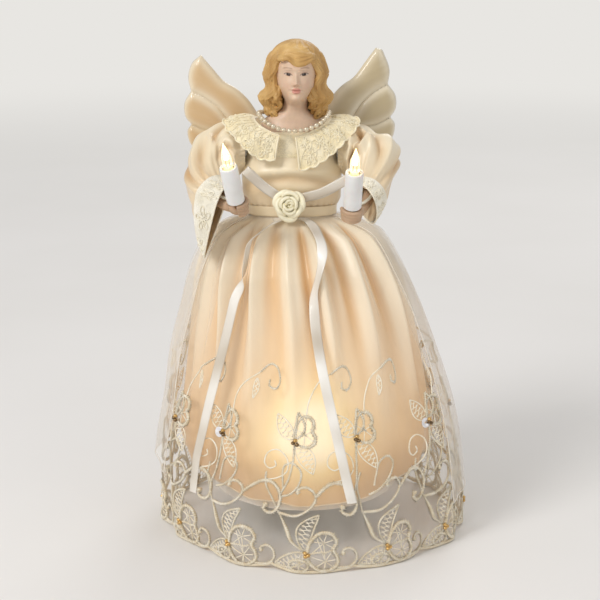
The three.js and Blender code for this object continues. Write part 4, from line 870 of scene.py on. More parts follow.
# Head, hair and necklace
# The head's sections: height, sideways centre, half width, front and back
HEAD = [
    (246.4, -12, 19.2, -11.3, 11.3), (248.5, -12, 19, -11.4, 11.2), (250.4, -12, 17.6, -11.6, 10.8),
    (253, -11.8, 18.4, -10.8, 10.4), (255.6, -11.5, 17.4, -9.8, 10), (258, -11.2, 15.6, -9.4, 9.6),
    (260.4, -10.8, 11.4, -9.3, 8.2), (263, -10.2, 8, -9.8, 6.8), (265.8, -9.6, 7.5, -11.8, 6.6),
    (267.6, -9.3, 7.2, -15.6, 6.7), (269, -9.2, 7.3, -18.4, 7), (271, -9.2, 8.2, -19.9, 7.6),
    (274, -9.1, 9.7, -20.3, 8), (278, -9, 11.2, -20.5, 8.4), (283, -9, 12.3, -20.4, 8.8),
    (288, -9, 12.8, -20.4, 9), (292, -9, 12.6, -19.7, 8.8), (296, -9, 11, -17.2, 7),
    (299, -9, 7.6, -13.2, 3.4), (300.6, -9, 0.3, -5.4, -4.6),
]
FACE_X = -9.1
# Soft rises on the face: distance from its middle line, height, half width and half height, and how far it
# stands out; one away from the middle line has a twin on the other side
FACE_RELIEF = [
    (1.7, 279.5, 0.85, 0.95, 1.1), (5.6, 279, 3.6, 3.4, 0.7), (4.7, 285, 2.7, 1.9, -1.5),
    (4.7, 284.9, 1.9, 1.35, 1.15), (4.5, 288.2, 3.6, 0.9, 0.35), (4.7, 286.4, 2.1, 0.33, 0.28),
    (4.7, 283.5, 2, 0.4, 0.14), (0, 276.75, 2.9, 0.62, 0.75), (0, 274.7, 2.5, 0.78, 0.95),
    (0, 275.75, 3.3, 0.24, -0.55), (0, 277.6, 0.5, 0.7, -0.25), (0, 273.3, 2.8, 0.6, -0.3),
    (0, 270.9, 3.2, 1.9, 1.25), (3.5, 275.7, 0.6, 0.7, -0.25),
]
EYE_X, EYE_Z, EYE_HALF = 4.7, 285, 2.5


def head_points():
    """The painted head and shoulder plate as a dense grid, with its colour at each point."""
    z = np.concatenate([np.linspace(246.4, 266, 46)[:-1], np.linspace(266, 292, 128)[:-1],
                        np.linspace(292, 300.6, 30)])[:, None]
    around = turn_evenly(300)
    phi = (around - 0.72 * np.sin(around))[None]
    centre, half, front, back = stations(HEAD, z)
    middle, deep = (front + back) / 2, (back - front) / 2
    chin = 0.2 * smooth((279 - z) / 11) * smooth((z - 263) / 4) * smooth((np.cos(phi) + 0.15) / 0.8)
    x = centre + half * np.sin(phi) * (1 - 0.06 * np.sin(phi * 2) ** 2 - chin)
    y = middle - deep * np.cos(phi)
    z = z + 0 * x
    fx, ahead = x - FACE_X, smooth((np.cos(phi) - 0.1) / 0.4) + 0 * x

    def rise(px, pz, sx, sz, amount):
        one, other = (amount * np.exp(-(((fx - at) / sx) ** 2) - ((z - pz) / sz) ** 2) for at in (px, -px))
        return one + other if px else one

    ridge = smooth((287.5 - z) / 7.5) * np.where(z > 280, 1, bell(z - 280, 1.25))
    out = 3.5 * ridge * bell(fx, 1.15 + 0.55 * smooth((286 - z) / 6))
    for place in FACE_RELIEF:
        out = out + rise(*place)
    y = y - out * ahead
    collar_bones = rise(7, 250.8, 5, 0.7, 0.5) + rise(0, 251, 1.3, 1.6, -0.5)
    y = y - collar_bones * ahead

    skin, blush = np.array(rgb(221, 191, 164)[:3]), np.array(rgb(222, 166, 142)[:3])
    colour = np.broadcast_to(skin, x.shape + (3,)).copy()

    def paint(amount, tone):
        mixed = np.clip(amount * ahead, 0, 1)[..., None]
        colour[:] = colour * (1 - mixed) + np.asarray(rgb(*tone)[:3]) * mixed

    colour = colour * 0.97 + 0.03 * blush
    paint(rise(5.7, 278.6, 3, 2.6, 0.22), (222, 162, 138))
    paint(rise(0, 280, 1.6, 1.1, 0.12), (222, 160, 140))
    paint(rise(EYE_X, 286.8, 2.6, 0.9, 0.35), (176, 132, 112))
    for side in (-1, 1):
        ex = (fx - side * EYE_X) * side
        opening = 1 - (ex / EYE_HALF) ** 2
        upper, lower = EYE_Z + 0.95 * opening + 0.12 * ex, EYE_Z - 0.66 * opening + 0.12 * ex
        inside = smooth((upper - z) / 0.22 + 0.5) * smooth((z - lower) / 0.22 + 0.5)
        inside = inside * smooth((EYE_HALF - abs(ex)) / 0.3)
        paint(inside, (222, 202, 186))
        iris = np.hypot(ex + 0.15, z - 285.15)
        paint(inside * smooth((1.25 - iris) / 0.25 + 0.5), (58, 38, 24))
        paint(inside * smooth((0.55 - iris) / 0.2 + 0.5), (22, 16, 14))
        # Painted highlight: a small pale catchlight in each iris
        paint(0.6 * inside * bell(np.hypot(ex + 0.45, z - 285.5), 0.22), (236, 232, 226))
        lash = bell(z - upper, 0.27) * smooth((2.8 - abs(ex)) / 0.5)
        paint(lash * 0.92, (70, 44, 32))
        paint(bell(z - lower, 0.18) * smooth((2.4 - abs(ex)) / 0.6) * 0.45, (130, 84, 66))
        brow = 288.4 + 0.55 * (1 - ((ex - 0.5) / 3.2) ** 2)
        paint(bell(z - brow, 0.34) * smooth((3.3 - abs(ex - 0.3)) / 1.4) * 0.72, (140, 98, 58))
    bow = 276.35 + 0.62 * bell(abs(fx) - 0.9, 0.9) - 0.02 * fx**2
    lips = smooth((bow + 0.42 - z) / 0.3 + 0.5) * smooth((z - (273.9 + 0.13 * fx**2)) / 0.3 + 0.5)
    paint(lips * smooth((2.9 - abs(fx)) / 0.8) * 0.75, (208, 132, 120))
    paint(bell(z - 275.7 - 0.02 * fx**2, 0.16) * smooth((2.8 - abs(fx)) / 0.6) * 0.55, (150, 84, 74))
    paint(rise(0.85, 278.5, 0.42, 0.26, 0.6), (150, 92, 78))
    return np.stack([x, y, z], axis=-1), colour


def build_head():
    points, colour = head_points()
    rows, columns = points.shape[:2]
    faces = grid_faces(rows, columns, True).tolist()
    faces.append(list(range(columns - 1, -1, -1)))
    top = (rows - 1) * columns
    faces.append(list(range(top, top + columns)))
    paint = Shader("painted_skin", rgb(222, 180, 158), 0.42, Subsurface_Weight=0.05, Subsurface_Scale=0.002)
    base = paint.node("Attribute", attribute_name="paint")
    speck = paint.ramp(paint.noise(500, 3), [(0.3, (0.93, 0.93, 0.93, 1)), (0.7, (1, 1, 1, 1))])
    paint.colour(paint.mix(1.0, base, speck, "MULTIPLY"))
    paint.bump(paint.noise(700, 2), 0.1, 0.05)
    head = mesh_piece("head_and_shoulder_plate", points.reshape(-1, 3), faces, paint.material)
    layer = head.data.color_attributes.new("paint", "FLOAT_COLOR", "POINT")
    layer.data.foreach_set("color", np.concatenate([colour, np.ones((rows, columns, 1))], axis=-1).ravel())
    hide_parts("head_casting")


# The hair's mass: height, half width, half depth and how far back its middle lies
HAIR = [(255.6, 14.5, 7.5, 1.5), (260, 18.4, 9, 1.2), (265.5, 19.6, 12, 1.6), (270.5, 21.8, 15.2, 1.2),
        (274.8, 18.8, 16.6, 0.4), (278.5, 18.2, 17.2, 0), (284, 18.9, 17.6, -0.6), (288, 18.2, 17.8, -1),
        (295, 15.9, 16.6, -1.5), (299.5, 13.1, 14.2, -1.5), (303.2, 8.4, 9.4, -1), (305, 3.2, 4, -1)]
HAIR_X = -9.4
# The combed cap: height of its crown and of its ends, and how much higher it ends over the face
CROWN, CAP_ENDS, FACE_RISE = 304.9, 264, 29.5
LOCK_SINK, LOCK_RADIUS = 1.5, 2.1
# Ringlets: direction in degrees, height of the lower end and phase; curls: direction, height and sense
RINGLETS = [(-38, 262.5, 0.4), (-44, 258.6, 2.6), (33, 263, 1.8), (40, 259.2, 4)]
CURLS = [(-66, 261.5, 1), (-47, 259.6, -1), (-80, 267.5, 1), (-34, 266.5, -1), (36, 265.8, 1), (47, 259.8, 1),
         (64, 262, -1), (80, 268.5, -1)]


def hair_place(azimuth, z, sink):
    """A place sunk under the hair's outer skin; azimuth is 0 at the front and grows to the viewer's right."""
    half, deep, middle = stations(HAIR, z)
    slope = (stations(HAIR, z + 0.2)[0] - stations(HAIR, z - 0.2)[0]) / 0.4
    flat = 1 / np.sqrt(1 + np.minimum(slope, 0) ** 2)
    half, deep, z = half - sink * flat, deep - sink * flat, z + sink * np.minimum(slope, 0) * flat
    x, y = HAIR_X + half * np.sin(azimuth), middle - deep * np.cos(azimuth)
    return np.stack([x, y, z + 0 * azimuth], axis=-1)


def hair_cap():
    """Closed shell of combed hair from the crown down to the ends, grooved along its flow."""
    azimuth = np.linspace(-math.pi, math.pi, 360, endpoint=False)[None]
    s = np.linspace(0.001, 1, 120)[:, None]
    face = smooth((np.degrees(azimuth) + 52) / 8) * smooth((58 - np.degrees(azimuth)) / 8)
    z = CROWN - (CROWN - CAP_ENDS - FACE_RISE * face) * s**1.4
    groove = 0.25 * np.cos(58 * azimuth + 4 * np.sin(6 * s)) * smooth(s / 0.25)
    groove = groove + 0.3 * np.cos(15 * azimuth + 3 * np.sin(5 * s)) * smooth(s / 0.3)
    swing = azimuth + 0.25 * (1 - s)
    layers = [hair_place(swing, z, 0.9 - groove), hair_place(swing, z, 4.5 + 0 * groove)]
    points = np.concatenate([layers[0], layers[1][::-1]])
    rows, columns = points.shape[:2]
    faces = grid_faces(rows, columns, True).tolist()
    faces += [list(range(columns)), list(range((rows - 1) * columns, rows * columns))[::-1]]
    return points.reshape(-1, 3), faces


def lock(azimuths, heights):
    """A waved lock laid on the hair's mass through directions in degrees at given heights."""
    t = np.linspace(0, 1, 80)
    azimuth = hermite(np.linspace(0, 1, len(azimuths)), azimuths, t)
    z = hermite(np.linspace(0, 1, len(heights)), heights, t)
    loose = smooth((296 - z) / 16)
    phase = (z - 270.5) * 0.45 + 0.7 * np.sin(np.radians(3 * azimuth))
    azimuth = azimuth + 3.6 * loose * np.sin(phase)
    sink = LOCK_SINK - 0.55 * loose * np.cos(phase) + 1.8 * smooth((t - 0.9) / 0.1) + 0.8 * smooth(1 - t / 0.2)
    ends = smooth(t / 0.18 + 0.3) * (1 - 0.5 * smooth((t - 0.86) / 0.14))
    return hair_place(np.radians(azimuth), z, sink), LOCK_RADIUS * ends, False


def build_hair():
    parts = [ellipsoid((HAIR_X, 1.2, 286.6), (14.4, 13.6, 15), 26),
             ellipsoid((HAIR_X, 5.5, 271), (14.6, 7.4, 10), 18), hair_cap()]
    # Combed locks fall from the crown all round, apart from the face
    locks = []
    for k in range(22):
        azimuth = 72 + k * 10.4
        locks.append(lock([azimuth * 0.9 + 18, azimuth, azimuth, azimuth],
                          [299.5, 288, 273, 257.4 + 1.2 * math.cos(k * 2.3)]))
    # Beside the face: from the parting to the viewer's right, and from the fringe to the left
    for k in range(3):
        locks.append(lock([20 + 9 * k, 42 + 8 * k, 52 + 9 * k, 50 + 10 * k, 49 + 10 * k],
                          [299 - 0.3 * k, 291, 281, 270, 258 + 0.8 * k]))
        locks.append(lock([-36 - 8 * k, -48 - 8 * k, -53 - 9 * k, -51 - 10 * k, -50 - 10 * k],
                          [298, 290, 281, 270, 256.8 + 0.8 * k]))
    # Ringlets hang inside these, against the neck
    for azimuth, low, turn in RINGLETS:
        t = np.linspace(0, 1, 50)
        z = 279 - (279 - low) * t
        path = hair_place(np.radians(azimuth), z, 4.2 - 1.2 * t)
        path[:, 0] += 1.1 * np.cos(0.62 * (z - 260) + turn)
        path[:, 1] -= 1.1 * np.sin(0.62 * (z - 260) + turn)
        locks.append((path, 2.0 * smooth(t / 0.3 + 0.2) * (1 - 0.45 * smooth((t - 0.8) / 0.2)), False))
    # The ends turn up in small curls
    for azimuth, height, way in CURLS:
        t = np.linspace(0, 1, 60)
        turn = way * 2.7 * math.pi * t + 1.2
        reach = 2.9 * (1 - 0.72 * t)
        path = hair_place(np.radians(azimuth) + reach * np.cos(turn) / 17, height + reach * np.sin(turn),
                          -0.1 - 0.5 * t)
        locks.append((path, smooth(t / 0.2 + 0.3) * (1 - 0.4 * t), False))
    # The fringe: one wave of strands swept across the forehead, up at its left end and into the right side
    for k in range(6):
        t = np.linspace(0, 1, 60)
        azimuth = -47 + 97 * t
        z = hermite(np.linspace(0, 1, 7), [294.2, 292.6, 291, 290.6, 291.2, 293, 296], t)
        swirl = bell(t - 0.34, 0.11)
        z = z + 1.95 * k * (1 - 0.45 * smooth(np.abs(t - 0.45) / 0.55)) + 0.5 * k * (t - 0.5)
        z = z + 2.6 * swirl * (1 - k / 6) + 0.5 * np.sin(9 * t + 1.1 * k)
        sink = min(0.5 * k - 1.3, 1.2) + 2.4 * smooth((t - 0.8) / 0.2) + 3.0 * smooth(1 - t / 0.2)
        sink = sink - 0.5 * np.sin(7 * t + 1.3 * k)
        strand = hair_place(np.radians(azimuth), z, sink)
        locks.append((strand, 1.25 * smooth(t / 0.12 + 0.35) * (1 - 0.5 * smooth((t - 0.8) / 0.2)), False))
    shader = Shader("painted_hair", rgb(196, 146, 84), 0.48)
    shader.mottled(rgb(168, 122, 60), rgb(222, 182, 116), 90, 3, (1, 1, 0.35))
    shader.bump(shader.noise(300, 3, (1, 1, 0.14)), 0.35, 0.4)
    hair = remeshed("hair_locks", [*parts, tubes(locks, 24, 0.14)], shader.material)
    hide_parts("hair")


PEARLS, PEARL_HALF = 36, (1.52, 1.52, 1.48)


def build_pearls():
    def place(angle):
        front, back = np.maximum(-np.sin(angle), 0), np.maximum(np.sin(angle), 0)
        z = 261 - 8.6 * front**1.5 - back
        return np.stack([-10.5 + 21 * np.cos(angle), -5 + 16.6 * np.sin(angle), z], axis=-1)

    fine = np.linspace(0, 2 * math.pi, 2001)
    run = run_along(place(fine))
    angles = np.interp(np.arange(PEARLS) / PEARLS * run[-1], run, fine)
    parts = [ellipsoid(centre, PEARL_HALF, 12) for centre in place(angles)]
    nacre = plain_finish("pearl", rgb(226, 212, 186), 0.16, (rgb(206, 188, 156), rgb(228, 216, 192)), 260, 2,
                         Metallic=0.25, Coat_Weight=1.0, Coat_Roughness=0.03)
    pearls = mesh_piece("pearl_beads", *merged(parts), nacre)
    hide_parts("pearl_strand")
    thread = mesh_piece("pearl_thread", *tubes([(place(fine[:-1:12]), 0.3, True)]),
                        plain_thread("necklace_thread", rgb(220, 210, 190), rgb(236, 228, 212)))


# Wings: three feather lobes in one casting
def inside_and_depth(points, outline):
    """How deep each point lies inside a closed outline, 0 outside it."""
    a, b = outline, np.roll(outline, -1, 0)
    d = b - a
    gap = points[:, None] - a[None]
    t = np.clip((gap * d).sum(-1) / ((d * d).sum(-1) + 1e-12), 0, 1)
    depth = np.linalg.norm(gap - t[..., None] * d, axis=-1).min(1)
    crosses = (a[None, :, 1] > points[:, None, 1]) != (b[None, :, 1] > points[:, None, 1])
    at = a[:, 0] + (points[:, None, 1] - a[:, 1]) / (b[:, 1] - a[:, 1] + 1e-12) * d[:, 0]
    inside = (crosses & (points[:, None, 0] < at)).sum(1) % 2
    return depth * inside


WING_BASE_Z, WING_BASE_Y = 236, 18.7


def build_wings():
    tip = (54.6, 294)
    scallops = [curve([tip, (60.6, 289.2), (63.6, 280.5), (62.3, 271.9)], 22),
                curve([(62.3, 271.9), (66.9, 264.9), (67, 256.5), (63.4, 251.4)], 22),
                curve([(63.4, 251.4), (66.2, 247), (64.6, 238.9), (58, 232)], 20)]
    lower = curve([(58, 232), (46, 226), (32, 222.5), (14, 224), (4.5, 229)], 40)
    inner = curve([(4.5, 229), (4.5, 245), (11, 249), (18, 252)], 20)
    upper = curve([(18, 252), (22.5, 260.5), (27, 267), (33, 272.8), (41, 277.8), (48, 286), tip], 50)
    first = curve([(62.3, 271.9), (54, 268), (45.5, 261.5), (38.6, 253), (28, 246), (4.5, 241)], 40)
    second = curve([(63.4, 251.4), (54, 247.5), (46, 246.4), (36, 244), (22, 240), (4.5, 236)], 40)
    outline = np.concatenate([scallops[0][:-1], scallops[1][:-1], scallops[2][:-1], lower[:-1], inner[:-1],
                              upper[:-1]])
    lobes = [np.concatenate([scallops[0], first, [(4.5, 245)], inner[10:], upper]),
             np.concatenate([scallops[1], second, first[::-1]]),
             np.concatenate([scallops[2], lower, second[::-1]])]
    middle = np.array([40.0, 254.0])
    share = np.linspace(0, 1, 64) ** 0.8
    flat = middle + share[:, None, None] * (outline - middle)[None]
    rows, columns = flat.shape[:2]
    spots = flat.reshape(-1, 2)
    edge = inside_and_depth(spots, outline)
    rim = np.sqrt(np.clip(1 - (1 - np.clip(edge / 1.6, 0, 1)) ** 2, 0, 1))
    relief = np.zeros(len(spots))
    for k, lobe in enumerate(lobes):
        depth = np.clip(inside_and_depth(spots, lobe) / (10 - 2 * k), 0, 1)
        relief = np.maximum(relief, np.sqrt(1 - (1 - depth) ** 2))
    vane = 0.07 * np.cos((spots[:, 0] * 0.35 - spots[:, 1] * 0.9) * 1.5) * relief
    front = rim * (0.4 + 3.6 * relief + vane)
    back = rim * (0.5 + 1.15 * relief)
    # Painted shade darkens the middle of each lobe so that its pearly edges look lit; the right wing, on the
    # viewer's left, is painted warmer for the candle light that falls on it; the left tip is the rounder one
    tones = {"left": (rgb(188, 170, 132), rgb(218, 203, 172), rgb(238, 229, 208)),
             "right": (rgb(206, 170, 120), rgb(222, 199, 160), rgb(236, 222, 196))}
    for which, side in (("left", 1), ("right", -1)):
        deep, dark, light = tones[which]
        shader = Shader(f"pearl_paint_{which}", light, 0.3, Coat_Weight=0.5, Coat_Roughness=0.12,
                        Sheen_Weight=0.2)
        tone = shader.ramp(shader.noise(22, 2), [(0.3, dark), (0.7, light)])
        shader.colour(shader.mix(shader.node("Attribute", _out=2, attribute_name="fold"), deep, tone))
        shader.bump(shader.noise(180, 3), 0.1, 0.3)
        fuller = np.exp(-((spots[:, 0] - 57.2) ** 2 + (spots[:, 1] - 292.2) ** 2) / 3.4**2) * (side > 0)
        parts = []
        for face, height in ((-1, front), (1, back)):
            x, z = spots[:, 0] + 1.5 * fuller - 9, spots[:, 1] + 1.3 * fuller - WING_BASE_Z
            y = 2 + face * height
            roll = math.radians(-2.4 * side)
            x, z = x * math.cos(roll) + z * math.sin(roll), -x * math.sin(roll) + z * math.cos(roll)
            x = x * side
            turn = math.radians(side * 11)
            x, y = x * math.cos(turn) - y * math.sin(turn), x * math.sin(turn) + y * math.cos(turn)
            points = np.stack([FIGURE_X + side * 9 + x, WING_BASE_Y + y, WING_BASE_Z + z], axis=-1)
            faces = grid_faces(rows, columns, True)
            if face * side > 0:
                faces = faces[:, ::-1]
            parts.append((points, faces.tolist()))
        points, faces = merged(parts)
        wing = mesh_piece(f"wing_{which}_feathers", points, faces, shader.material)
        # Painted shade in the middle of each lobe
        mark_fold_shade(wing, 0.85 * np.tile(smooth((relief - 0.55) / 0.45), 2))
        weld = wing.modifiers.new("weld", "WELD")
        weld.merge_threshold = 0.01 * MM
        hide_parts(f"wing_{which}")


# Hands, candles and lamps. Each candle's foot and direction, its side, and the forearm's line from elbow to
# wrist as distance out from the figure's middle, y and z
CANDLES = {
    "left": ((22.9, -57, 214.2), (0.03, -0.39, 0.92), 1,
             [(47, -21, 219.5), (44.5, -32, 213), (41.5, -40, 210), (38.8, -45, 208.6)]),
    "right": ((-43.3, -57, 217.4), (-0.16, -0.38, 0.91), -1,
              [(47.5, -23, 220.6), (44.5, -34, 215), (39.5, -41.5, 212.8), (35, -45.8, 212)]),
}


# Profiles along a candle's axis from its foot: radius and height
TUBE_PROFILE = [(1.5, 0), (4.6, 0), (5.0, 0.25), (5.2, 0.9), (5.2, 6), (5.17, 14), (5.2, 22.4), (5.12, 23.1),
                (4.85, 23.5), (4.4, 23.45), (3.5, 23.05), (3.3, 22.6), (3.35, 22), (4.4, 21.8), (4.4, 1.2),
                (1.5, 1.2), (1.5, 0)]
BULB_PROFILE = [(0.01, 13.6), (2.3, 13.6), (2.5, 14.2), (2.55, 21), (2.6, 23.8), (2.78, 25.4), (2.8, 27.6),
                (2.62, 30), (2.2, 32.4), (1.6, 34.6), (1.02, 36.4), (0.5, 38), (0.2, 38.8), (0.01, 39)]
LAMP_BASE_PROFILE = [(0.01, 13.8), (2.2, 13.8), (2.25, 23.6), (1.9, 24.2), (0.8, 24.4), (0.01, 24.4)]
LAMP_POSTS = [([(0.75, 0, 24.2), (0.75, 0, 28.6)], 0.14, False),
              ([(-0.6, 0.3, 24.2), (-0.3, 0.2, 31)], 0.14, False)]


def build_candles():
    # The hands' skin is toned darker than the face: painted shade for the shadow they lie in
    skin = plain_finish("painted_hand", rgb(216, 184, 162), 0.45, (rgb(180, 148, 118), rgb(200, 168, 138)),
                        120, 3, ((500, 2), 0.12, 0.08), Subsurface_Weight=0.05, Subsurface_Scale=0.002)
    wax = plain_finish("candle_tube", rgb(234, 231, 229), 0.32, (rgb(226, 222, 219), rgb(240, 238, 236)), 70, 2,
                       ((220, 2, (1, 1, 0.3)), 0.08, 0.12), Subsurface_Weight=0.08, Subsurface_Scale=0.003)
    glass = Shader("lamp_glass", rgb(255, 248, 232), 0.03, Transmission_Weight=1.0, IOR=1.45,
                   Emission_Color=rgb(255, 232, 184), Emission_Strength=0.4)
    glass.bump(glass.noise(500, 1), 0.05, 0.05)
    hot = plain_finish("filament", rgb(255, 226, 150), 0.4, (rgb(255, 206, 120), rgb(255, 236, 180)), 900, 1,
                       Emission_Color=rgb(255, 238, 196), Emission_Strength=12.0)
    base = plain_finish("lamp_base", rgb(236, 226, 196), 0.4, (rgb(226, 214, 180), rgb(244, 236, 210)), 300, 2)
    wire = plain_finish("lamp_wire", rgb(150, 120, 86), 0.35, (rgb(120, 92, 60), rgb(172, 140, 100)), 400, 2,
                        Metallic=0.8)
    for which, (foot, lean, side, arm) in CANDLES.items():
        body, lamp_body = f"{which}_arm", f"{which}_lamp"
        axis = Vector(lean).normalized()
        foot, turn, axis = np.array(foot), turn_to(axis), np.array(axis)

        def stand(part):
            return part[0] @ turn.T + foot, part[1]

        tube = mesh_piece(f"candle_{which}_tube", *stand(lathe(TUBE_PROFILE, 56)), wax, body)
        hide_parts(f"candle_sleeve_{which}")
        bulb = mesh_piece(f"lamp_{which}_bulb", *stand(lathe(BULB_PROFILE, 40)), glass.material, lamp_body)
        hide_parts(f"candle_lamp_{which}")
        core = mesh_piece(f"lamp_{which}_base", *stand(lathe(LAMP_BASE_PROFILE, 24)), base, lamp_body)
        t = np.linspace(0, 1, 60)
        coil = np.stack([0.75 * np.cos(t * 44), 0.75 * np.sin(t * 44), 28.6 + 2.4 * t], axis=-1)
        coil = mesh_piece(f"lamp_{which}_filament", *stand(tubes([(coil, 0.2, False)])), hot, lamp_body)
        posts = mesh_piece(f"lamp_{which}_posts", *stand(tubes(LAMP_POSTS)), wire, lamp_body)

        # A fist under the candle's foot, with the fingers folded across the front
        palm = foot - 5.2 * axis + (0, 2.6, 0.2)
        parts = [ellipsoid(palm + (0, 1.2, 0), (5.9, 5.4, 4.5), 18)]
        arm_line = [(FIGURE_X + side * reach, y, z) for reach, y, z in arm]
        line = curve([*arm_line, palm + (0, 2.5, 0.2)], 30)
        parts.append(tubes([(line, 3.3 - 0.5 * np.linspace(0, 1, 30) ** 2, False)], 16))
        fingers = []
        for k in range(4):
            arc = np.linspace(-0.9, 2.5, 24) if side > 0 else np.linspace(4.04, 0.64, 24)
            low = -1.2 - 2.15 * k
            reach = 5.9 - 0.25 * k - 0.9 * smooth((np.linspace(0, 1, 24) - 0.75) / 0.25)
            ring = np.stack([reach * np.cos(arc - 2.2), reach * np.sin(arc - 2.2), low + 0 * arc], axis=-1)
            fingers.append((ring @ turn.T + foot + (0, 1.6, 0), 1.28 - 0.08 * k, False))
        thumb = curve([palm + (side * 4.5, 2, 1), palm + (side * 5.6, -1.5, 3.2),
                       palm + (side * 4.2, -4.6, 4.4)], 14)
        fingers.append((thumb, 1.4, False))
        parts.append(tubes(fingers, 12))
        hand = remeshed(f"hand_{which}_and_forearm", parts, skin, body, 3)
        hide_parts(f"hand_{which}")
        leads = []
        for shift in (-0.9, 0.9):
            start = foot + turn @ np.array([shift, -0.6, 1.0])
            line = curve([start, start + (0, -0.5, -2.2), palm + (shift, -3.2, -0.6)], 12)
            leads.append((line, 0.35, False))
        leads = mesh_piece(f"candle_{which}_foot_wires", *tubes(leads), wire, body)


# Ribbons and the rosette
RIBBON_WIDTH, RIBBON_THICKNESS = 6, 0.24


def ribbon(name, centre, across, material, cup=0.25):
    """A narrow ribbon on a line of points, its width along across at each point and cupped by cup."""
    across = unit(across)
    normal = unit(np.cross(np.gradient(centre, axis=0), across))
    s = np.linspace(-0.5, 0.5, 9)
    rise = cup * (1 - (2 * s) ** 2)
    top = centre[:, None] + across[:, None] * (s * RIBBON_WIDTH)[None, :, None]
    top = top + normal[:, None] * rise[None, :, None]
    bottom = top - normal[:, None] * RIBBON_THICKNESS
    rows, columns = len(centre), len(s)
    ring = np.concatenate([top, bottom[:, ::-1]], axis=1)
    faces = grid_faces(rows, 2 * columns, True).tolist()
    for k, turned in ((0, False), (rows - 1, True)):
        for j in range(columns - 1):
            shift = k * 2 * columns
            end = shift + 2 * columns - 1
            quad = [shift + j, shift + j + 1, end - j - 1, end - j]
            faces.append(quad[::-1] if turned else quad)
    wide = np.concatenate([s, s[::-1]]) * RIBBON_WIDTH + RIBBON_WIDTH / 2
    uv = np.stack(np.meshgrid(wide, run_along(centre)), axis=-1)
    return mesh_piece(name, ring.reshape(-1, 3), faces, material, uv=uv.reshape(-1, 2))


def on_cloth(route, count):
    """A ribbon's line on the overskirt from rows of degrees, height and lift, with its level direction."""
    line = curve(route, count)
    angle, z, lift = np.radians(line[:, 0]), line[:, 1], line[:, 2]
    centre = overskirt(angle, z)
    outward = unit(np.stack([centre[:, 0] - FIGURE_X, centre[:, 1], 12 + 0 * z], axis=-1))
    level = overskirt(angle + 0.03, z, 0, 0) - overskirt(angle - 0.03, z, 0, 0)
    return centre + outward * lift[:, None], level


# Each tail's direction in degrees, height and lift over the skirt; each loop's line out and back, and its width
RIBBON_TAILS = {
    "left": [(-77, 198.8, 1.8), (-72.6, 196.6, 2.8), (-73.6, 191.4, 3.2), (-75.4, 183.6, 2.8),
             (-78.4, 172, 2.4), (-82, 156, 2.2), (-82.8, 137, 2.2), (-80.6, 98, 2.2), (-75.4, 42.3, 2.2)],
    "right": [(-102.9, 198.8, 1.8), (-112, 194.9, 2.8), (-117.5, 187.6, 3.2), (-120.5, 177.6, 3),
              (-123, 167.4, 2.6), (-127.6, 153, 2.2), (-130.4, 120, 2.2), (-134.8, 81, 2.2),
              (-140.6, 37.3, 2.2)],
}
BOW_LOOPS = {
    "left": ([(-8, -18.2, 210.8), (6, -22.5, 216), (18.8, -25.9, 223), (21.2, -24.3, 224.4),
              (18.6, -22.7, 222.6), (6.2, -20.3, 215.4), (-5.6, -17.5, 211.9)], (-0.42, -0.2, 0.88)),
    "right": ([(-18.5, -18.2, 211.5), (-29, -23, 220), (-37.2, -26.4, 228), (-39.4, -24.6, 230.2),
               (-37, -22.8, 227.6), (-28.8, -20.6, 219.4), (-20.4, -17.5, 212.9)], (0.7, -0.2, 0.7)),
}


def build_ribbons():
    satin = cloth_shader("ribbon_satin", rgb(232, 224, 210), rgb(248, 243, 233), 0.2, 0.3, 0.2,
                         Anisotropic=0.6)
    # Painted highlights and shade: the satin's brightness wanders in long patches as if catching the light
    satin.mottled(rgb(208, 196, 178), rgb(252, 248, 240), 36, 1)
    # A tail hangs edge on below the rosette and turns flat as it falls
    for which, twist in (("left", 0.5), ("right", 1.25)):
        centre, level = on_cloth(RIBBON_TAILS[which], 130)
        t = np.linspace(0, 1, 130)
        out = unit(np.stack([centre[:, 0] - FIGURE_X, centre[:, 1], 0 * t], axis=-1))
        edge_on = twist * smooth((0.3 - t) / 0.12) * smooth(t / 0.04) + 0.12 * np.sin(t * 9 + 1)
        level = unit(level) * np.cos(edge_on)[:, None] + out * np.sin(edge_on)[:, None]
        centre = centre + out * (0.5 * np.sin(t * 12) * t + 1.5 * np.abs(np.sin(edge_on)))[:, None]
        tail = ribbon(f"ribbon_tail_{which}_satin", centre, level, satin.material)
        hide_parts(f"ribbon_tail_{which}")
    for which, (route, across) in BOW_LOOPS.items():
        centre = curve(route, 90)
        t = np.linspace(0, 1, 90)[:, None]
        across = np.array(across) + np.array([0, -0.3, 0.05]) * np.sin(t * 6.28)
        loop = ribbon(f"bow_loop_{which}_satin", centre, across, satin.material, cup=0.35)
        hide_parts(f"bow_loop_{which}")
    angle = np.linspace(0, 2 * math.pi, 160)
    centre = np.stack([FIGURE_X + 27.5 * np.cos(angle), 17.3 * np.sin(angle),
                       203 + 0.25 * np.sin(3 * angle)], axis=-1)
    up = np.stack([0.05 * np.cos(angle), 0.05 * np.sin(angle), 1 + 0 * angle], axis=-1)
    # Cream satin, toned darker than the tail ribbons with painted shade for the shadow at the waist
    shaded_waist_satin = cloth_shader("waist_satin", rgb(234, 212, 172), rgb(248, 232, 200), 0.3, 0.3, 0.2)
    band = ribbon("waist_ribbon_satin", centre[::-1], up[::-1], shaded_waist_satin.material, cup=0.2)
    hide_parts("waist_ribbon")


# Petals of the ribbon rose: radius, direction in degrees, width in degrees and height
PETALS = [(1.0, 0, 340, 7.4), (2.2, 80, 250, 8.0), (3.0, 250, 230, 7.9), (4.4, 20, 150, 7.7),
          (4.8, 140, 160, 7.3), (5.0, 262, 150, 7.1), (6.9, 75, 135, 6.2), (7.1, 192, 140, 5.8),
          (7.2, 318, 135, 5.9), (8.6, 15, 120, 4.6), (8.8, 135, 125, 4.3), (8.8, 252, 125, 4.5)]
# Middle of the rose's back, and how far it looks up
ROSETTE_PLACE, ROSETTE_TILT = (-13.3, -21.2, 208.4), math.radians(10)


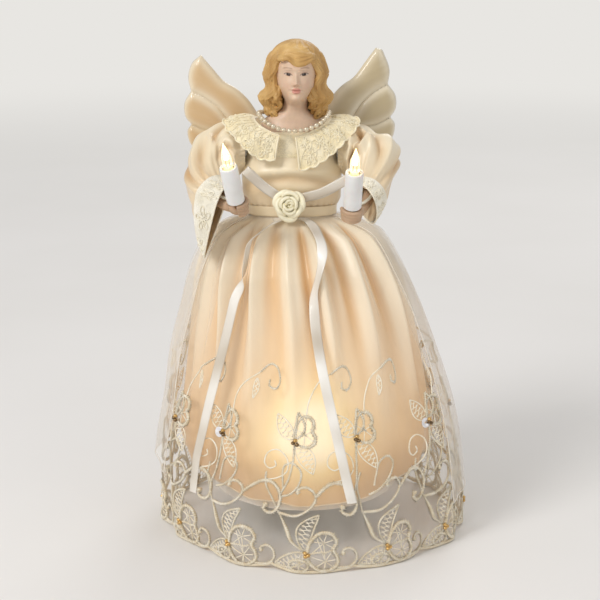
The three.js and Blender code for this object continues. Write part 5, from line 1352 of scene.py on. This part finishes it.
def build_rosette():
    shader = cloth_shader("rose_ribbon", rgb(252, 242, 206), rgb(255, 251, 230), 0.42, 0.3, 0.25)
    turn = turn_to((0, -math.cos(ROSETTE_TILT), math.sin(ROSETTE_TILT)))
    centre = np.array(ROSETTE_PLACE)
    sheets = []
    for k, (radius, towards, width, top) in enumerate(PETALS):
        s = np.linspace(-1, 1, 40)
        theta = math.radians(towards) + s * math.radians(width / 2)
        r = 0.69 * radius * (1 + 0.09 * s) + 0.3 * np.cos(2.5 * s + k)
        h = top * (1 - 0.3 * np.abs(s) ** 3) + 0.3 * np.sin(4 * s + k)
        lip = (0.6 + 0.2 * radius) * (1 - 0.6 * s**4)
        rows = [(0.6 * r, 0.3 + 0 * r), (0.84 * r, 0.45 * h), (0.97 * r, 0.8 * h), (r + 0.12 * lip, 0.96 * h),
                (r + 0.5 * lip, h + 0.15), (r + 0.95 * lip, 0.97 * h), (r + 1.15 * lip, 0.85 * h),
                (r + lip, 0.74 * h)]
        x, y = (0.15 * radius * way(math.radians(towards)) for way in (math.cos, math.sin))
        grid = np.stack([np.stack([x + a * np.cos(theta), y + a * np.sin(theta), b], axis=-1) for a, b in rows])
        sheets.append((grid.reshape(-1, 3) @ turn.T + centre, grid_faces(len(rows), len(s)).tolist()))
    rose = mesh_piece("rosette_petals", *merged(sheets), shader.material)
    thick = rose.modifiers.new("thickness", "SOLIDIFY")
    thick.thickness = 0.4 * MM
    thick.offset = 0
    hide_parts("rosette")
    points, faces = ellipsoid((0, 0, 2.4), (6, 6, 2.2), 14)
    heart = mesh_piece("rosette_heart", points @ turn.T + centre, faces, shader.material)


# Embroidery: scrolls, flowers and cutwork in cloth millimetres (along the hem, up from the hem)
UPPER_FLOWER = (37.5, 80.0)
# How far each repeat's upper row is carried aside
SWAY = [-4, 8, 3, -2, 2, 0, 3, -3, 1, 9, 5, 6]
# Direction of the first repeat's middle in degrees, and the radius that turns mm along the hem into an angle
BORDER_START, BORDER_RADIUS = -92.5, 91.0
# The cord round the hem: how far its middle is above the edge, its radius, and its stitches' points
CORD_ABOVE, CORD_RADIUS, CORD_STITCHES = 1.3, 1.0, 1800
SEQUIN_PROFILE = [(0.6, 0.2), (0.65, 0.05), (1.8, 0.15), (3.0, 0.5), (3.15, 0.6), (3.0, 0.64), (1.75, 0.3),
                  (0.7, 0.19), (0.6, 0.2)]


def stitched(line, size, lift):
    """Close stitches to and fro across a cord; line is in cloth mm and lift the height above the cloth."""
    steps = run_along(line)
    count = max(int(steps[-1] / 1.25), 3) * 4 + 1
    at = np.linspace(0, steps[-1], count)
    middle = np.stack([np.interp(at, steps, line[:, k]) for k in range(2)], axis=-1)
    wide = np.interp(at, steps, size)
    ahead = np.gradient(middle, axis=0)
    across = np.stack([-ahead[:, 1], ahead[:, 0]], axis=-1) / (np.linalg.norm(ahead, axis=1)[:, None] + 1e-9)
    swing = np.array([0, 1, 0, -1])[np.arange(count) % 4]
    uneven = 1.18 + 0.22 * np.sin(np.arange(count) * 5.3 + count)
    return middle + across * (swing * wide * uneven)[:, None], lift + np.where(swing == 0, 1.0, 0.25) * wide


def leaf(base, tip, bend, width, outline=0.42, filled=True):
    """A leaf between two places: its two sides and a meander of fine thread inside it."""
    base, tip = np.array(base, float), np.array(tip, float)
    along = tip - base
    side = np.array([-along[1], along[0]]) / np.linalg.norm(along)
    s = np.linspace(0, 1, 16)[:, None]
    spine = base + along * s + side * bend * np.sin(math.pi * s)
    wide = width / 2 * np.sin(math.pi * s**0.85) ** 0.85
    paths = [(spine + side * wide, outline), (spine - side * wide, outline)]
    if filled:
        s = np.linspace(0.1, 0.93, 90)[:, None]
        turns = np.linalg.norm(along) * 2.3
        s2 = s + 0.035 * np.sin(2 * turns * s)
        spine = base + along * s2 + side * bend * np.sin(math.pi * s2)
        wide = 0.72 * width / 2 * np.sin(math.pi * s**0.85)
        paths.append((spine + side * wide * np.sin(turns * s), 0.26))
    return paths


def spokes(hub, rim, count, start=0.0):
    """Cutwork bars from a worked knot to the petal's outline."""
    paths = [(np.array([hub, np.array(hub) + (0.5, 0.4)]), 0.95)]
    for k in range(count):
        angle = start + k / count * 2 * math.pi
        reach = np.array(rim, float) - hub
        bearing = np.arctan2(reach[:, 1], reach[:, 0])
        near = np.argmin(np.abs((bearing - angle + math.pi) % (2 * math.pi) - math.pi))
        paths.append((np.linspace(hub, rim[near], 6), 0.3))
    return paths


def rope(points, radius, closed=False, knob=0.0):
    """A corded line whose twist shows as small swellings; knob thickens its far end to a ball."""
    points = np.asarray(points, float)
    if closed:
        points = np.concatenate([points, points[:1]])
    length = np.linalg.norm(np.diff(points, axis=0), axis=1).sum()
    count = max(int(length / 0.62), 8)
    line = curve(points, count)
    t = np.linspace(0, 1, count)
    k = np.arange(count)
    size = radius * (1 + 0.1 * np.cos(k * 2.1) + 0.09 * np.cos(k * 3.7 + length))
    if knob:
        size = size + (knob - radius) * smooth((t - 1 + 2.4 / length) / (1.6 / length))
    return line, size


def motif():
    """One repeat of the border, about 48 mm wide, as lines and their radii."""
    paths = []
    # Cutwork flower at the hem
    heart = curve([(1, 13), (3, 20.5), (8.6, 25.6), (14.6, 24.6), (17.8, 19.4), (16, 14.6), (17.9, 10.6),
                   (18.6, 6), (15, 2.4), (9.6, 1.9), (4.8, 4.8), (1.6, 9.4), (1, 13)], 60)
    paths.append(rope(heart, 1.3))
    paths.append((curve([(16, 14.6), (12.2, 13.2), (8, 13.6), (1.4, 12.6)], 12), 0.6))
    paths += spokes((10.4, 19.2), heart, 7, 0.3) + spokes((11.4, 7.6), heart, 7, 0.1)
    turn = np.linspace(0, 6.283, 26)
    ring = np.stack([-3.4 + 5.4 * np.cos(turn), 5.2 + 3.6 * np.sin(turn)], axis=-1)
    paths.append(rope(ring, 0.9))
    paths += spokes((-3.4, 5.2), ring, 6, 0.5)
    paths += leaf((-0.5, 13.5), (-17.5, 4.2), 1.5, 8, 0.62)
    paths += leaf((-0.6, 14.6), (8.8, 36.6), 4.2, 9, 0.62)
    sliver = curve([(-14.6, 36.2), (-10.4, 27), (-7.6, 20), (-1.6, 15.4)], 20)
    paths.append((sliver, 0.45 + 1.0 * np.sin(np.linspace(0, 3.14, 20)) ** 1.5))
    # Scroll that links one flower with the next along the hem
    paths.append(rope([(17.6, 3.6), (22, 2.8), (26.4, 3.8), (29.4, 7.6), (28.6, 12.6), (25, 15), (21.6, 13.6),
                       (21.8, 11.2)], 0.85, knob=1.7))
    paths.append((curve([(21, 8.5), (15, 11.4), (19, 15.6)], 10), 0.2))
    # Thick scrolls between the two rows of flowers
    paths.append(rope([(-14.9, 36), (-4.6, 36), (4.6, 41), (8.8, 48), (5, 53.2), (-0.5, 52.4), (-1, 49.6)],
                      0.85, knob=1.5))
    paths.append(rope([(8.8, 47.6), (14, 52), (20, 54.8), (26.4, 53.4), (31.2, 47.4), (31, 39.4),
                       (26.8, 35.4), (22.2, 37.4), (23.4, 41.2)], 1.12, knob=2.0))
    # Fine spiral over the thick scroll, and the stem that climbs beside it to the upper flower
    paths.append(rope([(20, 54.8), (28, 57), (33.6, 62), (33, 69.4), (27, 73.6), (20.4, 71.4), (18.6, 65.6),
                       (22, 62.2), (26, 64), (25, 67)], 0.45))
    paths.append(rope([(31.2, 47.4), (34.6, 56), (36.4, 66), (37.6, 78)], 0.62))
    paths.append((curve([(-14.9, 36), (-17.6, 44), (-20.4, 52), (-19.4, 60)], 22), 0.62))
    paths.append(rope([(-12, 46), (-6, 48.6), (0.4, 55), (2.6, 62.6), (-1.6, 67.2), (-7.4, 64.6), (-9, 58.6),
                       (-9.6, 51)], 0.55))
    # Flower of the upper row
    up = np.array(UPPER_FLOWER)
    lobe = curve([(0.6, 0.8), (4, -2.6), (9, -3), (12.6, 0), (12.4, 4), (10.8, 6), (12.6, 9), (11, 13.4),
                  (6.6, 14.4), (3, 11), (1.6, 6), (0.6, 0.8)], 48) + up
    size = 0.5 + 0.75 * np.clip((lobe[:, 0] - up[0] - 3) / 7, 0, 1)
    paths.append((lobe, size))
    paths += spokes(up + (6.6, 4), lobe, 6, 0.4)
    paths += leaf(up + (0.2, 1.4), up + (3.4, 17), -2.4, 5.6, 0.75, False)
    paths += leaf(up + (-0.6, 1.2), up + (-10.5, 14.5), 0.8, 9.6, 0.4)
    paths += leaf(up + (1, -2), up + (11.4, -19), 1.2, 9.4, 0.38)
    # Vine that rises from the upper flower: a loose curve, a closed curl and a small leaf
    paths.append(rope([up + (8, 14), up + (10.5, 23), up + (17, 32), up + (26, 37.5)], 0.42))
    paths += leaf(up + (24, 34), up + (21.5, 22.5), 0.6, 3.4, 0.34)
    paths.append(rope([up + (26, 37.5), up + (33, 42), up + (38.6, 40), up + (40.4, 33.6), up + (37, 28.4),
                       up + (32.4, 29.6), up + (32.6, 33.4)], 0.55))
    return paths


def cloth_angle(repeat, p, z):
    """Direction of a place on the border; the gathers carry the upper row a little aside."""
    shift = SWAY[repeat] * smooth((np.asarray(z, float) - 25) / 50)
    return (math.radians(BORDER_START + 360 / REPEATS * repeat)
            + (np.asarray(p, float) + shift) / BORDER_RADIUS)


def cloth_normal(angle, z):
    """A place on the overskirt and the direction that it faces."""
    here, beside, above = overskirt(np.array([angle, angle + 0.01, angle]), np.array([z, z, z + 1.0]))
    return here, unit(np.cross(beside - here, above - here))


def above_cloth(repeat, line, lift):
    """Places over the overskirt of a line drawn on one repeat of the border."""
    here = overskirt(cloth_angle(repeat, line[:, 0], line[:, 1]), line[:, 1], 0.0)
    outward = unit(np.stack([here[:, 0], here[:, 1] / 0.78, 0 * lift], axis=-1))
    return here + outward * lift[:, None]


def build_embroidery():
    thread = plain_thread("embroidery_thread", rgb(240, 226, 196), rgb(253, 247, 232))
    # A darker core under the stitches and in the hem cord: painted shade between the stitches
    shaded_padding = plain_thread("embroidery_padding", rgb(212, 192, 156), rgb(234, 220, 190))
    design = motif()
    paths, cores, stitches, beads, sequins = [], [], [], [], []
    flower = np.array(UPPER_FLOWER)
    spots = [(flower + (-0.3, -0.6), "dark"), (flower + (1.7, -1.5), "dark"), (flower + (0.9, 0.9), "gold"),
             ((0.2, 13.8), "gold"), ((1.9, 12.4), "gold"), ((0.4, 11.6), "gold")]
    for k in range(REPEATS):
        for line, size in design:
            line = np.asarray(line, float)
            z = line[:, 1]
            size = np.broadcast_to(np.asarray(size, float), z.shape)
            if size.mean() < 0.5:
                paths.append((above_cloth(k, line, 0.5 * size + 0.1), size, False))
            else:
                cores.append((above_cloth(k, line, 0.4 * size), 0.8 * size, False))
                stitches.append((above_cloth(k, *stitched(line, size, 0.15)), 0.36, False))
        for spot, tone in spots:
            here, normal = cloth_normal(cloth_angle(k, *spot), spot[1])
            beads.append((here + normal * 1.5, tone))
        if k % 3 == 1:
            spot = flower + (-2.4, -0.6)
            here, normal = cloth_normal(cloth_angle(k, *spot), spot[1])
            sequins.append((here + normal * 0.7, normal))
    work = mesh_piece("hem_embroidery", *merged([tubes(paths, 6), tubes(stitches, 4)]), thread)
    core = mesh_piece("hem_embroidery_padding", *tubes(cores, 6), shaded_padding)

    angle = turn_evenly(1300)
    line = overskirt(angle, hem_height(angle) + CORD_ABOVE, 0.1)
    turn = np.arange(CORD_STITCHES) / CORD_STITCHES * 2 * math.pi
    swing = np.sin(np.arange(CORD_STITCHES) * math.pi / 2)
    wrap = overskirt(turn, hem_height(turn) + 1.32 + 1.02 * swing, 0.25 + 0.75 * (1 - np.abs(swing)))
    cord = mesh_piece("hem_cord", *tubes([(line, CORD_RADIUS, True)], 8), shaded_padding)
    wrap = mesh_piece("hem_cord_stitches", *tubes([(wrap, 0.36, True)], 4), thread)

    tones = {"dark": (rgb(84, 64, 40), rgb(150, 118, 72)), "gold": (rgb(190, 146, 78), rgb(228, 190, 120))}
    for tone, (low, high) in tones.items():
        metal = plain_finish(f"bead_{tone}", high, 0.16, (low, high), 700, 2, Metallic=0.6, Coat_Weight=0.6)
        shapes = [ellipsoid(place, (1.3, 1.3, 1.15), 10) for place, kind in beads if kind == tone]
        obj = mesh_piece(f"beads_{tone}", *merged(shapes), metal)
    points, faces = lathe(SEQUIN_PROFILE, 22)
    shapes = [(points @ turn_to(normal).T + place, faces) for place, normal in sequins]
    film = plain_finish("sequin", rgb(244, 244, 244), 0.1, (rgb(232, 232, 238), rgb(252, 250, 248)), 500, 2,
                        Metallic=0.3, Coat_Weight=1.0)
    obj = mesh_piece("sequins", *merged(shapes), film)


# The plain moulded and wired parts keep their own shapes
def dress_nodes():
    frosted = plain_finish("frosted_plastic", rgb(233, 230, 221), 0.55,
                           (rgb(226, 222, 212), rgb(240, 237, 230)), 40, 3, ((600, 3), 0.2, 0.08))
    rubber = plain_finish("soft_rubber", rgb(78, 76, 70), 0.75, (rgb(64, 62, 58), rgb(92, 90, 84)),
                          200, 3, ((800, 2), 0.3, 0.08))
    holder = plain_finish("lamp_holder", rgb(232, 232, 224), 0.5, (rgb(224, 224, 214), rgb(240, 240, 232)),
                          160, 2, ((700, 2), 0.15, 0.05))
    lead = plain_finish("wire_jacket", rgb(226, 220, 200), 0.42, (rgb(216, 210, 188), rgb(236, 231, 214)),
                        220, 2, ((500, 2), 0.15, 0.05))
    steel = plain_finish("zinc_steel", rgb(184, 186, 190), 0.34, (rgb(168, 170, 174), rgb(198, 200, 204)),
                         500, 3, ((900, 3), 0.2, 0.05), Metallic=1.0)
    bulb = plain_finish("warm_bulb", rgb(255, 240, 205), 0.15, (rgb(255, 226, 160), rgb(255, 246, 220)), 400, 2,
                        Emission_Color=rgb(255, 208, 122), Emission_Strength=2.4)
    tones = {"tree_cone": frosted, "torso_former": frosted, "arm_left": frosted, "arm_right": frosted,
             "cord_grommet": rubber, "harness_ring": lead}
    for name, obj in frame["nodes"].items():
        if name in tones:
            made = tones[name]
        elif "socket" in name:
            made = holder
        elif "lead" in name:
            made = lead
        elif "screw" in name:
            made = steel
        elif name.startswith("skirt_lamp"):
            made = bulb
        else:
            continue
        if not obj.material_slots:
            obj.data.materials.append(made)
        for place in obj.material_slots:
            place.material = made


build_studio()
over = build_skirts()
build_embroidery()
build_bodice()
build_sleeves()
build_collars()
build_head()
build_hair()
build_pearls()
build_wings()
build_candles()
build_ribbons()
build_rosette()
dress_nodes()
